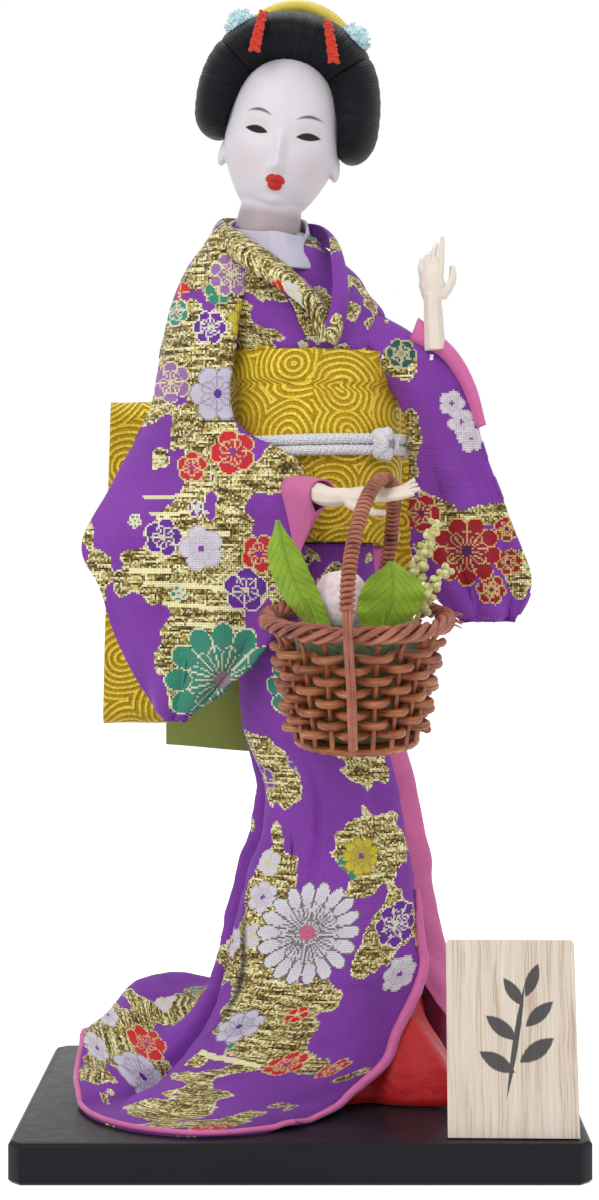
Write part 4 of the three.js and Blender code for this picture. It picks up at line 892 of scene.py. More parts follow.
def painted(name, colour, roughness):
    """Painted or cast smooth surface with a slightly uneven tone."""
    w, shader = new_material(name, roughness, Subsurface_Weight=0.05, Subsurface_Scale=0.002)
    place = object_place(w)
    w.put(shader["Base Color"], toned(w, place, colour, 6.0, 0.06))
    raise_bump(w, shader, w.noise(place, 0.8, 3.0, 0.6), 0.04)


def cane_finish(name, dark, middle, light):
    """Stained cane: lines along it, darker between them, and paler patches at random that are painted
    highlights.
    """
    w, shader = new_material(name, 0.45, Coat_Weight=0.15, Coat_Roughness=0.35)
    place = uv_place(w)
    lines = w.use("fine grain", Place=place, Long=9.0, Fine=0.45)["Lines"]
    # painted highlights: paler patches scattered at random over the cane
    highlight_patches = w.noise(object_place(w), 0.16, 3.0, 0.6)
    tone = lines * 0.6 + highlight_patches * 0.5
    w.put(shader["Base Color"], w.ramp(tone, [(0.38, dark), (0.55, middle), (0.74, light)]))
    w.put(shader["Roughness"], w.spread(lines, 0.3, 0.7, 0.55, 0.36))
    raise_bump(w, shader, lines, 0.14)


def lacquer_finish(name):
    """Satin black lacquer on wood, with a faint grain and a breath of dust."""
    w, shader = new_material(name, 0.3, Specular_IOR_Level=0.12)
    place = object_place(w)
    grain = w.use("fine grain", Place=place, Long=60.0, Fine=1.6)["Lines"]
    dust = w.noise(place, 0.35, 5.0, 0.7)
    colour = toned(w, place, settings().lacquer, 40.0, 0.25)
    w.put(shader["Base Color"], w.mix(w.spread(dust, 0.58, 0.8, 0.0, 0.02), colour, (0.4, 0.4, 0.42)))
    w.put(shader["Roughness"], w.spread(dust, 0.3, 0.7, 0.28, 0.4))
    raise_bump(w, shader, w.scaled(grain, 0.5, dust * 0.2), 0.06)


def wood_finish(name, sprig):
    """Bare pale wood with upright grain, and a brushed leaf sprig in ink on its face."""
    w, shader = new_material(name, 0.68)
    place = w.node("Attribute", attribute_name="plaque_place").outputs["Vector"]
    x, y, z = w.split(place)
    wander = w.scaled(w.noise(w.sized(place, 0.06), 1.0, 2.0), 2.4, x)
    lines = w.use("fine grain", Place=w.combine(z, wander, y), Long=26.0, Fine=0.55)["Lines"]
    broad = w.use("fine grain", Place=w.combine(z, wander, y), Long=60.0, Fine=3.0)["Lines"]
    tone = lines * 0.55 + broad * 0.45
    colour = w.ramp(tone, [(0.36, (0.55, 0.4, 0.29)), (0.5, settings().pale_wood), (0.7, (0.86, 0.79, 0.7))])
    ink = None
    for centre, half, turn in sprig:
        _, along, across = oval(w, x, z, centre, half, turn)
        shape = w.absolute(across) + along * along
        stroke = w.spread(shape + lines * 0.25, 1.2, 1.02)
        ink = stroke if ink is None else w.larger(ink, stroke)
    ink = ink * w.below(y, -PLAQUE_THICKNESS + 0.3)
    w.put(shader["Base Color"], w.mix(ink * 0.93, colour, (0.018, 0.02, 0.026)))
    raise_bump(w, shader, lines, 0.07)


def leaf_finish(name):
    """Stiffened green cloth with a middle vein and side veins."""
    w, shader = new_material(name, 0.5, Sheen_Weight=0.1)
    place = uv_place(w)
    x, y, _ = w.split(place)
    side = w.absolute(x)
    vein = w.spread(side, 0.5, 0.15)
    ribs = w.absolute(w.sine((y + side) * 1.25))
    veins = w.larger(vein, w.spread(ribs, 0.2, 0.04, 0.0, 0.5))
    colour = toned(w, place, settings().leaf, 7.0, 0.5)
    colour = w.mix(veins * 0.35, colour, (0.1, 0.24, 0.01))
    w.put(shader["Base Color"], colour)
    weave = w.use("crossed threads", Place=place, Pitch=0.4)
    raise_bump(w, shader, w.scaled(weave["Height"], 0.2, veins), 0.25)


def fluffy(name, colour, shade, size):
    """Soft yarn or foam with a pale top and shaded hollows."""
    w, shader = new_material(name, 0.95, Sheen_Weight=0.6, Sheen_Roughness=0.6)
    place = object_place(w)
    form = w.noise(place, 1 / size, 3.0, 0.6)
    w.put(shader["Base Color"], w.ramp(form, [(0.32, shade), (0.62, colour)]))
    raise_bump(w, shader, form, 0.35)


def steel_finish(name):
    """Drawn steel wire."""
    w, shader = new_material(name, 0.35, Metallic=1.0)
    place = object_place(w)
    lines = w.noise(place, 2.0, 3.0, 0.6)
    w.put(shader["Base Color"], w.ramp(lines, [(0.3, (0.4, 0.4, 0.42)), (0.7, (0.66, 0.67, 0.7))]))
    raise_bump(w, shader, lines, 0.02)


# Sizes of the doll, in millimetres. Angles run from the front, 0, towards +X, 90.

HEM_Z = 10.75
WAIST_Z = 158.2
TRAIN_START = 46.0
TRAIN_REACH = 36.0
SKIRT_BACK_EDGE = -218.0
LAYER = 1.6
SKIRT_KEYS = [
    [WAIST_Z, 3, 12, 20.6, 15],
    [135, 3.2, 12, 21.4, 16],
    [108, 3.5, 12, 20.5, 15.6],
    [91, 8, 10.5, 19, 15],
    [79, 8.5, 9.5, 20.5, 15.5],
    [69, 7.5, 8.5, 23.5, 17],
    [55, 6.3, 7.5, 26.3, 19],
    [41, 6, 7, 29, 21],
    [HEM_Z, 6, 6, 33, 25],
]
OBI_LOW = 158.7
OBI_HIGH = 210.4
OBI_OUT = 2.1
TORSO_KEYS = [
    [245, -10.5, 11.5, 9, 7],
    [241, -11, 11.5, 16, 10],
    [236, -9.5, 12, 20.5, 12],
    [229, -7, 12, 24.5, 13.5],
    [221, -2, 12, 25, 14.5],
    [211, 2, 12, 23, 15.5],
    [205, 3, 12, 21.6, 15.5],
    [OBI_LOW, 3, 12, 21.6, 15.5],
]
FREE_EDGE = [[WAIST_Z, 52], [108, 60], [69, 74], [46, 66], [30, 34], [18, 8], [HEM_Z, -8]]
DEEP_FOLD = [[112, -95], [92, -88], [70, -80], [46, -72], [26, -68], [HEM_Z, -64]]
ROLL_START = 0.52
ROLL_RADIUS = 1.5
PIPING_END = 0.82
PIPING_RADIUS = 0.75
LINING_EDGE = [[WAIST_Z, 24], [80, 36], [52, 60], [32, 80], [HEM_Z, 92]]
LINING_FLARE = [
    [WAIST_Z, 1], [135, 3.5], [108, 6], [91, 8], [69, 12], [54, 16], [40, 11], [26, 5], [HEM_Z, 3]
]
CORD_Z = 183.8
CORD_RADIUS = 1.4
CORD_APART = 1.5
CORD_LAYS = 34
PLY_RADIUS = 0.95
KNOT_ANGLE = radians(44)
KNOT_RADIUS = 3.2
BOW_WIDTH = 90.0
BOW_HEIGHT = 92.0
BOW_DEPTH = 11.0
BOW_LOW = 106.0
BOW_MID_X = -12.5
BOW_FRONT_Y = 34.2
TAIL_WIDTH = 26.0
TAIL_LOW = 99.5
TAIL_HIGH = 150.0
TAIL_MID_X = -26.0


def sewn(obj, thickness, material, slot, node, held, *rests_on):
    """Gives a cloth its thickness and its finish; its cut and what it rests on are not used."""
    thicken(obj, thickness)
    done(obj, material, "root", slot, node)


def oval_point(keys, angle, z, offset):
    found = at_height(keys, z)
    a = np.radians(angle)
    x = found[..., 1] + (found[..., 3] + offset) * np.sin(a)
    y = found[..., 2] - (found[..., 4] + offset) * np.cos(a)
    return stack(x, y, z)


def column_point(angle, z, offset):
    pleat = 0.7 * np.sin(np.radians(6 * angle + z)) * smoothstep(150 - z, 0, 60)
    return oval_point(SKIRT_KEYS, angle, z, offset + pleat)


def keyed(keys, z):
    return at_height(keys, z)[..., 1]


def train_point(angle, share):
    front, side, behind = (turned_hump(angle, *spot) for spot in ((-38, 58), (-95, 62), (-150, 60)))
    reach = 3 + TRAIN_REACH * (0.9 * front + 0.85 * side + 0.3 * behind)
    spread_share = share**1.7
    roll = 20 * turned_hump(angle, -122, 54) * np.sin(pi * share**2.2)
    lip = 11 * turned_hump(angle, -100, 30) * share**3
    valley = 3 * turned_hump(angle, -66, 16) * np.sin(pi * share)
    fall = (TRAIN_START - HEM_Z) * (1 - (1 - share) ** 1.55)
    top = column_point(angle, TRAIN_START - fall, 0)
    a = np.radians(angle)
    z = np.maximum(TRAIN_START - fall + roll + lip - valley, HEM_Z)
    x = top[..., 0] + reach * spread_share * np.sin(a)
    y = top[..., 1] - reach * spread_share * 1.05 * np.cos(a)
    return stack(x, y, z)


COLUMN_SHARE = 0.62


def skirt_level(v):
    upper = WAIST_Z + (TRAIN_START - WAIST_Z) * v / COLUMN_SHARE
    lower = TRAIN_START + (HEM_Z - TRAIN_START) * (v - COLUMN_SHARE) / (1 - COLUMN_SHARE)
    return np.where(v <= COLUMN_SHARE, upper, lower)


def skirt_angle(u, z):
    edge = keyed(FREE_EDGE, z)
    return edge + (SKIRT_BACK_EDGE - edge) * u


def kimono_point(u, v):
    z = skirt_level(v)
    angle = skirt_angle(u, z)
    share = np.clip((v - COLUMN_SHARE) / (1 - COLUMN_SHARE), 0, 1)
    on_column = (v <= COLUMN_SHARE)[:, None]
    return np.where(on_column, column_point(angle, z, 0), train_point(angle, share))


def kimono_folds(u, v):
    """The deep fold down the left, long soft folds and the small unevenness of stiff cloth."""
    z = skirt_level(v)
    angle = skirt_angle(u, z)
    at = kimono_point(u, v)
    line = keyed(DEEP_FOLD, z)
    low = smoothstep(118 - z, 0, 40)
    groove = -5.0 * turned_hump(angle, line, 5.5) * low
    flap = 2.4 * turned_hump(angle, line - 11, 11) * low
    seam = -1.3 * turned_hump(angle, -12, 5) * hump(z, 82, 24)
    crease = 0.9 * turned_hump(angle, -40, 12) * hump(z, 62, 40)
    long_folds = 0.45 * np.sin(np.radians(9 * angle - 1.4 * z)) * smoothstep(120 - z, 0, 70)
    free = smoothstep(u, 0, 0.05)
    uneven = 0.3 * ripple(*at.T, 15, 4) + 0.12 * ripple(*at.T, 5, 5)
    train = 0.9 * ripple(*at.T, 17, 6) * smoothstep(34 - z, 0, 20)
    return (groove + flap + seam + crease + long_folds) * free + uneven + train


def above_board(place, least=HEM_Z):
    def held(u, v):
        point = place(u, v)
        point[:, 2] = np.maximum(point[:, 2], least)
        return point

    return held


def lining_point(u, v):
    z = WAIST_Z - 1 + (HEM_Z + 3 - WAIST_Z) * v
    angle = 196 + (keyed(LINING_EDGE, z) - 196) * u
    edge = keyed(FREE_EDGE, z + 12)
    swell = keyed(LINING_FLARE, z) * turned_hump(angle, 76, 46) * smoothstep(angle, edge + 5, edge + 28)
    a = np.radians(angle)
    return column_point(angle, z, -LAYER) + stack(swell * np.sin(a), -0.75 * swell * np.cos(a), 0)


def under_skirt_point(u, v):
    z = WAIST_Z - 1 + (HEM_Z - WAIST_Z + 1) * v
    angle = -360 * u
    flare = 3.4 * turned_hump(angle, 60, 60) * smoothstep(60 - z, 0, 50)
    folds = 1.1 * np.sin(np.radians(9 * angle)) * smoothstep(70 - z, 0, 60)
    over_foot = 14 * turned_hump(angle, 50, 34) * smoothstep(40 - z, 0, 26)
    z = z + 5 * turned_hump(angle, 70, 12) * smoothstep(v, 0.88, 1)
    return column_point(angle, z, -2 * LAYER + flare * 0.4 + folds * 0.5 - 1 + over_foot)


def red_underskirt(material):
    def folds(u, v):
        at = under_skirt_point(u, v)
        low = smoothstep(70 - at[:, 2], 0, 50)
        return low * (0.5 * np.sin(np.radians(20 * 360 * u)) + 0.3 * ripple(*at.T, 9, 11))

    obj = cloth("red_satin_underskirt", above_board(pushed(under_skirt_point, folds)), 240, 72)
    sewn(obj, 0.6, material, "red_satin", "under_skirt", "gathered", "body_form")


def pink_layer(material):
    def folds(u, v):
        at = lining_point(u, v)
        low = smoothstep(120 - at[:, 2], 0, 70)
        return low * (0.5 * np.sin(np.radians(5 * 172 * u + 40 * v)) + 0.35 * ripple(*at.T, 12, 21))

    obj = cloth("pink_satin_layer", above_board(pushed(lining_point, folds)), 190, 110, ring=False)
    sewn(obj, 0.6, material, "pink_satin", "skirt_lining", "draped", "under_skirt")


def brocade_skirt(material):
    place = above_board(pushed(kimono_point, kimono_folds))
    obj = cloth("brocade_skirt", place, 268, 184, ring=False, middle=0.3)
    sewn(obj, 0.8, material, "brocade", "kimono_skirt", "draped", "skirt_lining")


def hem_roll(material):
    """Padded satin roll on the lower part of the skirt's free edge, and the piping round the train."""
    shaped = pushed(kimono_point, kimono_folds)
    shares = np.linspace(ROLL_START, 1.0, 90)
    edge = shaped(np.full(90, 0.004), shares)
    roll = strand(
        "roll", [edge + [0.6, -0.4, 0.3]], ROLL_RADIUS, 4,
        radii=lambda t: 0.35 + 0.65 * np.sin(pi * t**0.8) ** 0.7
    )
    along = np.linspace(0.0, PIPING_END, 220)
    hem = shaped(along, np.full(220, 0.999))
    hem[:, 2] = np.maximum(hem[:, 2] - 0.1, HEM_Z + PIPING_RADIUS)
    piping = strand("piping", [hem], PIPING_RADIUS, 3)
    obj = join("pink_hem_roll", roll, piping)
    done(obj, material, "root", "pink_satin")


# Upper body


def bodice_point(u, v):
    z = 245 + (204 - 245) * v
    return oval_point(TORSO_KEYS, -360 * u, z, 0.0)


def brocade_bodice(material):
    def folds(u, v):
        at = bodice_point(u, v)
        gathers = 0.5 * np.sin(np.radians(8 * 360 * u) + 0.09 * at[:, 2]) * smoothstep(v, 0.5, 1.0)
        return gathers + 0.3 * ripple(*at.T, 12, 31) - 0.4

    obj = cloth("brocade_bodice", pushed(bodice_point, folds), 240, 70)
    sewn(obj, 0.6, material, "brocade", "bodice", "stretched", "torso_core")


def band_place(path, width, centre, bulge, tilt=0.35):
    """A band folded double along a path: u runs round it and v along; it faces away from a centre line."""
    curve = curve_through(path)
    middle = np.array(centre, float)

    def place(u, v):
        turn = TAU * u
        spine = curve(v)
        ahead = unit(curve(np.minimum(v + 0.01, 1)) - curve(np.maximum(v - 0.01, 0)))
        out = spine - middle
        out[:, 2] = 0
        out = unit(out)
        out[:, 2] = tilt
        across = unit(np.cross(ahead, out))
        face = np.cross(across, ahead)
        raised = bulge * np.sin(turn) ** 2 + FOLD_HALF * np.sin(turn)
        return spine + across * (0.5 * width * np.cos(turn))[:, None] + face * raised[:, None]

    return place


FOLD_HALF = 0.75
NECK_X = -9.5
NECK_Y = 12.0
COLLARS = {
    "collar_left": [
        [-7, 24.2, 244.2], [3.4, 19, 243.8], [7.9, 9, 240.4], [9.6, 0.4, 234.4], [10.4, -4.2, 226.2],
        [9.3, -5.4, 218], [6.8, -5.8, 212],
    ],
    "collar_right": [
        [-9, 24, 244.2], [-21, 17.8, 244.8], [-22.9, 8, 242.8], [-16.6, -1.2, 237.6], [-5.2, -4.7, 229.6],
        [3.6, -5.6, 221.6], [7.2, -5.8, 212.3],
    ],
}
COLLAR_WIDTH = 7.4


def folded_collars(materials):
    for name, path in COLLARS.items():
        wide = COLLAR_WIDTH if name == "collar_right" else COLLAR_WIDTH - 1.0
        obj = cloth(name + "_band", band_place(path, wide, (NECK_X, NECK_Y, 0), 0.9), 48, 120)
        face_out(obj)
        sewn(obj, 0.5, materials[name], "brocade", name, "folded", "bodice")


INNER_COLLAR_KEYS = [[250, -9, 11, 10.1, 10.1], [240, -9.5, 11, 12.2, 11.4], [232, -8, 11, 15.2, 13.6]]
INNER_COLLAR_LOW = 232.5


def pale_inner_collar(material):
    """A folded band that stands round the neck, high at the nape and low at the throat."""

    def place(u, v):
        turn = TAU * u
        angle = 360 * (0.5 - u)
        level = oval_point(INNER_COLLAR_KEYS, angle, np.full(len(u), 242.0), 0)
        throat = 0.32 * np.maximum(level[:, 0] + 7, 0) * smoothstep(-level[:, 1], -14, -4)
        top = np.minimum(242.5 + 0.32 * level[:, 1] - throat, 248.3)
        z = top + (INNER_COLLAR_LOW - top) * v
        crossing = 0.55 * smoothstep(turned_hump(angle, 4, 40), 0.0, 0.6) * smoothstep(angle, -2, 4)
        return oval_point(INNER_COLLAR_KEYS, angle, z, 0.2 * np.sin(3 * turn) + crossing)

    obj = cloth("pale_inner_collar", place, 180, 30)
    sewn(obj, 0.9, material, "pale_cloth", "inner_collar", "folded", "bodice")


# Sash


def around_obi(angle, out, z):
    _, cx, cy, rx, ry = TORSO_KEYS[-1]
    return stack(cx + (rx + out) * np.sin(angle), cy - (ry + out) * np.cos(angle), z)


def obi_point(u, v):
    belly = 0.7 * np.sin(pi * v) - 0.5 * hump(v, 0.19, 0.035) + 0.35 * smoothstep(0.19 - v, 0, 0.04)
    z = OBI_HIGH + (OBI_LOW - OBI_HIGH) * v + 0.4 * np.sin(TAU * 2 * u)
    return around_obi(-TAU * u, OBI_OUT + belly, np.minimum(z, OBI_HIGH))


def golden_obi(material):
    def folds(u, v):
        at = obi_point(u, v)
        creases = 0.35 * hump(v + 0.06 * np.sin(9 * u), 0.62, 0.05) * turned_hump(-360 * u, 20, 60)
        return 0.25 * ripple(*at.T, 14, 41) - creases

    obj = cloth("golden_obi", pushed(obi_point, folds), 270, 94)
    sewn(obj, 1.2, material, "gold_brocade", "obi", "folded", "bodice")


OBI_FACE = OBI_OUT + 0.85


def obi_cord(material):
    angle = np.linspace(0, TAU, 240, endpoint=False)
    level = CORD_Z + 1.0 * np.cos(angle - KNOT_ANGLE)
    plies = []
    for up in (CORD_APART, -CORD_APART):
        for ply in range(3):
            turn = angle * CORD_LAYS + TAU * ply / 3
            out = OBI_FACE + CORD_RADIUS + 0.55 * np.cos(turn)
            plies.append(around_obi(angle, out, level + up + 0.62 * np.sin(turn)))
    obj = strand("white_obi_cord", plies, PLY_RADIUS, 2, closed=True)
    done(obj, material, "root", "white_cord", "obi_cord")


def obi_knot(material):
    """A soft round knot: the cord wound over itself in a tight ball."""
    t = np.linspace(0, TAU, 420, endpoint=False)
    centre = around_obi(KNOT_ANGLE, OBI_FACE + 3.2, CORD_Z + 1.0)
    lean = 0.9 * np.sin(3 * t)
    local = KNOT_RADIUS * stack(1.1 * np.cos(2 * t) * np.cos(lean), 0.62 * np.sin(lean) * np.sin(5 * t),
                                0.85 * np.sin(2 * t) * np.cos(0.6 * lean) + 0.25 * np.cos(5 * t))
    turn = Matrix.Rotation(KNOT_ANGLE, 3, "Z")
    knot = strand("turns", [local @ np.array(turn).T + centre], 1.55, 4, closed=True)
    core = egg("core", (3.4, 2.2, 2.9), tuple(centre), (0, 0, degrees(KNOT_ANGLE)))
    obj = join("white_knot", knot, core)
    done(obj, material, "root", "white_cord", "obi_knot")


def bow_section(share):
    """The outline of the hanging loop at a share of its way round, as depth and height."""
    radius = BOW_DEPTH / 2
    straight = BOW_HEIGHT - BOW_DEPTH
    whole = 2 * straight + TAU * radius
    run = share * whole
    arc = pi * radius
    top = np.clip(run / radius, 0, pi)
    down = np.clip(run - arc, 0, straight)
    bottom = np.clip((run - arc - straight) / radius, 0, pi)
    up = np.clip(run - 2 * arc - straight, 0, straight)
    on_top = run <= arc
    on_down = (run > arc) & (run <= arc + straight)
    on_bottom = (run > arc + straight) & (run <= 2 * arc + straight)
    half = straight / 2
    parts = [on_top, on_down, on_bottom]
    y = np.select(parts, [radius * np.cos(top), -radius, -radius * np.cos(bottom)], radius)
    z = np.select(
        parts, [half + radius * np.sin(top), half - down, -half - radius * np.sin(bottom)], -half + up
    )
    return y, z


def bow_point(u, v):
    share = v - 0.5
    y, z = bow_section(u)
    sag = 13.6 * share**2
    sweep = 24 * share**2 * np.where(z > 0, -0.2, 0.15)
    x = BOW_MID_X + BOW_WIDTH * share * (1 - 0.05 * (z / BOW_HEIGHT + 0.5))
    return stack(x, BOW_FRONT_Y + BOW_DEPTH / 2 + y + sag * 0.6, BOW_LOW + BOW_HEIGHT / 2 + z - sweep)


def golden_bow(material):
    def folds(u, v):
        at = bow_point(u, v)
        gathers = 0.8 * np.sin(26 * v + 0.02 * at[:, 2]) * hump(at[:, 2], BOW_LOW + BOW_HEIGHT, 60)
        return gathers * 0.5 + 0.4 * ripple(*at.T, 26, 51) - 0.5

    obj = cloth("hanging_golden_bow", pushed(bow_point, folds), 220, 126)
    face_out(obj)
    sewn(obj, 0.9, material, "gold_brocade", "obi_bow", "folded", "obi_pad")


def tail_point(u, v):
    x = TAIL_MID_X + TAIL_WIDTH * (u - 0.5)
    slant = 2.2 * (u - 0.5)
    y = BOW_FRONT_Y - 1.4 + 0.3 * np.sin(7 * u) - 0.35 * np.sin(pi * v) * np.cos(9 * u)
    return stack(x, y, TAIL_HIGH + (TAIL_LOW - TAIL_HIGH) * v - slant * v)


def lined_tail(material):
    obj = cloth("green_lined_tail", tail_point, 50, 70, ring=False)
    thicken(obj, 0.9, offset=0)
    done(obj, material, "root", "green_lining", "obi_tail")


def hidden_pad(material):
    obj = copy_of("obi_pad", "bolster_under_the_bow")
    modify(obj, "SUBSURF", levels=1)
    done(obj, material, "root", "padding", "obi_pad")


# Sleeves

SLEEVES = {
    "right": (
        [[-26, 14, 240], [-33.5, 14, 229], [-38.5, 13, 213], [-41, 11, 197], [-51, 8, 176], [-60, 4, 157],
         [-55, 2, 146], [-51, 0, 134], [-45, -2, 122], [-37, -4, 110.5]],
        [[-12, 3, 239], [-15, 0, 229], [-18, -3, 212], [-18, -6, 191], [0.5, -13, 178.5], [-1, -13, 168],
         [1, -10, 152], [-5, -7, 138], [-13, -6, 126], [-32, -4, 110.5]],
        6.5, 2.2,
    ),
    "left": (
        [[8, 10, 213], [18, 7, 205], [26.5, 5, 196], [29, 5, 183], [29, 4, 170], [30, 3, 157], [34, 1, 146],
         [43, -1, 137]],
        [[11, 12, 229], [21, 8, 221], [31, 1, 214], [43, -2, 202], [49.5, -3, 182], [56.5, -3, 163],
         [61.5, -3, 147], [57, -3, 137]],
        6.0, 2.2,
    ),
}


def sleeve_place(side, folds):
    """A flat tube of cloth that hangs between an outer and an inner outline."""
    outer, inner, top, bottom = SLEEVES[side]
    outer, inner = curve_through(outer), curve_through(inner)

    def middle(a, v):
        point = outer(v) * (1 - a)[:, None] + inner(v) * a[:, None]
        point[:, 1] += 1.5 * np.sin(5 * pi * a + 1) * smoothstep(v, 0.4, 0.9)
        return point

    def place(u, v):
        turn = TAU * u
        a = 0.5 - 0.5 * np.cos(turn)
        step = 0.01
        da = middle(np.minimum(a + step, 1), v) - middle(np.maximum(a - step, 0), v)
        dv = middle(a, np.minimum(v + step, 1)) - middle(a, np.maximum(v - step, 0))
        back = unit(np.cross(da, dv))
        swell = 0.8 + (top + (bottom - top) * np.minimum(1, 1.5 * v)) * np.sqrt(np.maximum(np.sin(pi * a), 0))
        closing = 1 - smoothstep(v, 0.965, 1.0) * 0.9
        depth = np.sin(turn) / np.maximum(np.sqrt(np.abs(np.sin(turn))), 1e-6) * swell * closing
        point = middle(a, v)
        return point - back * (depth + folds(a, v, point) * np.sign(np.sin(turn)))[:, None]

    return place


def right_sleeve_folds(a, v, at):
    diagonal = np.sin(0.55 * at[:, 0] + 0.42 * at[:, 2] + 1.0)
    elbow = 1.3 * np.maximum(diagonal, -0.3) * hump(v, 0.36, 0.2) * np.sin(pi * a)
    drape = 0.9 * np.sin(0.34 * at[:, 0] - 0.1 * at[:, 2]) * smoothstep(v, 0.45, 0.8) * np.sin(pi * a)
    upper = 0.8 * np.sin(0.5 * at[:, 0] + 0.1 * at[:, 2]) * smoothstep(0.4 - v, 0, 0.25) * np.sin(pi * a)
    return elbow + drape + upper + 0.35 * ripple(*at.T, 12, 61)


def left_sleeve_folds(a, v, at):
    drape = 1.1 * np.sin(0.42 * at[:, 0] + 0.09 * at[:, 2]) * smoothstep(v, 0.3, 0.7) * np.sin(pi * a)
    upper = 0.8 * np.sin(0.36 * at[:, 0] + 0.36 * at[:, 2]) * smoothstep(0.5 - v, 0, 0.3) * np.sin(pi * a)
    return drape + upper + 0.35 * ripple(*at.T, 12, 71)


def brocade_sleeve(side, folds, material):
    obj = cloth(f"brocade_{side}_sleeve", sleeve_place(side, folds), 200, 144)
    face_out(obj)
    at = points_of(obj) / MM
    write_uv(obj, at[:, [0, 2]])
    sewn(obj, 0.6, material, "brocade", f"sleeve_{side}", "hung", "torso_core", f"arm_wire_{side}")


CUFF_RIGHT = [[-3, -11.5, 172.3], [1, -15.5, 171.8], [5.5, -22.5, 171]]
CUFF_RIGHT_DROP = 19.0
CUFF_LEFT = (
    [[29, -0.5, 213], [37.5, -2, 208], [43, -3, 200], [47, -3.4, 189]],
    [[31.5, -1, 219], [41.5, -2.6, 210], [46.5, -3.4, 201], [49.5, -3.6, 190]],
)


def right_cuff(material):
    """The lining at the wrist: a flat sleeve end that hangs down to a point below the wrist."""
    path = curve_through(CUFF_RIGHT)

    def place(u, v):
        turn = TAU * u
        spine = path(v)
        ahead = path(np.minimum(v + 0.02, 1)) - path(np.maximum(v - 0.02, 0))
        beside = unit(stack(-ahead[:, 1], ahead[:, 0], 0))
        down = np.maximum(-np.cos(turn), 0)
        drop = CUFF_RIGHT_DROP * (1 - 0.75 * v**1.5) * smoothstep(v, -0.2, 0.25)
        high = 4.1 * np.maximum(np.cos(turn), 0) - drop * down**0.8
        wide = (3.4 + 0.9 * v) * np.sin(turn) * (1 - 0.72 * down)
        hang = -1.6 * down * smoothstep(v, 0.2, 1.0)
        return spine + beside * wide[:, None] + stack(hang, 0 * u, high)

    obj = cloth("pink_right_cuff", place, 110, 40)
    face_out(obj)
    sewn(obj, 0.5, material, "pink_satin", "sleeve_right_cuff", "hung", "arm_wire_right")


def left_cuff(material):
    low, high = (curve_through(path) for path in CUFF_LEFT)

    def place(u, v):
        turn = TAU * u
        a = 0.5 - 0.5 * np.cos(turn)
        point = low(v) * (1 - a)[:, None] + high(v) * a[:, None]
        point[:, 1] -= 2.4 * np.sin(turn) * (0.8 + 0.3 * v)
        return point

    obj = cloth("pink_left_cuff", place, 80, 60)
    face_out(obj)
    sewn(obj, 0.5, material, "pink_satin", "sleeve_left_cuff", "hung", "arm_wire_left")


def hands_and_feet(skin, sock):
    for side in ("right", "left"):
        hand = copy_of(f"hand_{side}", f"moulded_{side}_hand")
        rounded(hand, 0.32, 0.5, 7)
        done(hand, skin, "root", "skin", f"hand_{side}")
        foot = copy_of(f"foot_{side}", f"split-toe_sock_{side}")
        rounded(foot, 0.4, 0.5, 6)
        done(foot, sock, "root", "sock", f"foot_{side}")


# Head, in its own frame, whose origin is the neck's turning point

HEAD_PLACE = Matrix.Translation((-9.2, 11, 246)) @ Matrix.Rotation(radians(9), 4, "Y") @ Matrix.Rotation(
    radians(-3), 4, "Z"
)
SKULL_WIDTH = 32.0
SKULL_DEPTH = 34.0
SKULL_LOW = 1.5
SKULL_HIGH = 47.0
HEAD_MID_Y = 1.5
NECK_RADIUS = 8.4
FEATURES = [
    # place across and up, half sizes, height
    ((1.1, 15.2), (1.5, 5.0), 2.2),
    ((1.1, 13.4), (1.9, 1.35), 1.9),
    ((2.9, 13.0), (0.9, 0.9), 0.7),
    ((-0.7, 13.0), (0.9, 0.9), 0.7),
    ((1.1, 20.5), (1.3, 3.2), 0.9),
    ((8.0, 22.6), (4.2, 2.7), -1.5),
    ((-5.8, 22.6), (4.2, 2.7), -1.5),
    ((8.1, 23.2), (3.3, 1.5), 0.85),
    ((-5.9, 23.2), (3.3, 1.5), 0.85),
    ((1.1, 10.4), (2.9, 0.95), 0.95),
    ((1.1, 8.7), (2.3, 0.95), 0.85),
    ((1.1, 6.8), (2.6, 0.9), -0.4),
    ((0.8, 3.8), (3.8, 2.6), 1.1),
    ((9.4, 13.2), (5.5, 5.5), 0.7),
    ((-7.6, 13.2), (5.5, 5.5), 0.7),
    ((8.3, 28.0), (4.5, 1.6), 0.4),
    ((-6.1, 28.0), (4.5, 1.6), 0.4),
]


def placed(obj, matrix):
    """Moves a shape that was made in a group's own frame, in millimetres, to its place."""
    turn = np.array(matrix.to_3x3())
    shift = np.array(matrix.translation) * MM
    move_points(obj, points_of(obj) @ turn.T + shift)
    return obj


def head_point(angle, share, grow=0.0):
    tall = (SKULL_HIGH - SKULL_LOW) / 2
    up = np.cos(pi * share)
    z = (SKULL_HIGH + SKULL_LOW) / 2 + (tall + grow) * up
    level = np.sin(pi * share)
    jaw = 1 - 0.25 * smoothstep(-up, -0.05, 1.15) ** 1.3
    wide = SKULL_WIDTH / 2 * level ** np.where(up < 0, 0.62, 0.8) * jaw + grow
    deep = SKULL_DEPTH / 2 * level**0.8 + grow
    front = np.cos(angle)
    nape = np.where(front < 0, 1 - 0.3 * smoothstep(-up, 0, 0.9), 1)
    x = wide * np.sin(angle)
    y = HEAD_MID_Y - deep * front * nape
    for (across, high), size, rise in FEATURES:
        away = ((x - across) / size[0]) ** 2 + ((z - high) / size[1]) ** 2
        y = y - rise * np.exp(-away) * np.maximum(front, 0)
    return stack(x, y, z)


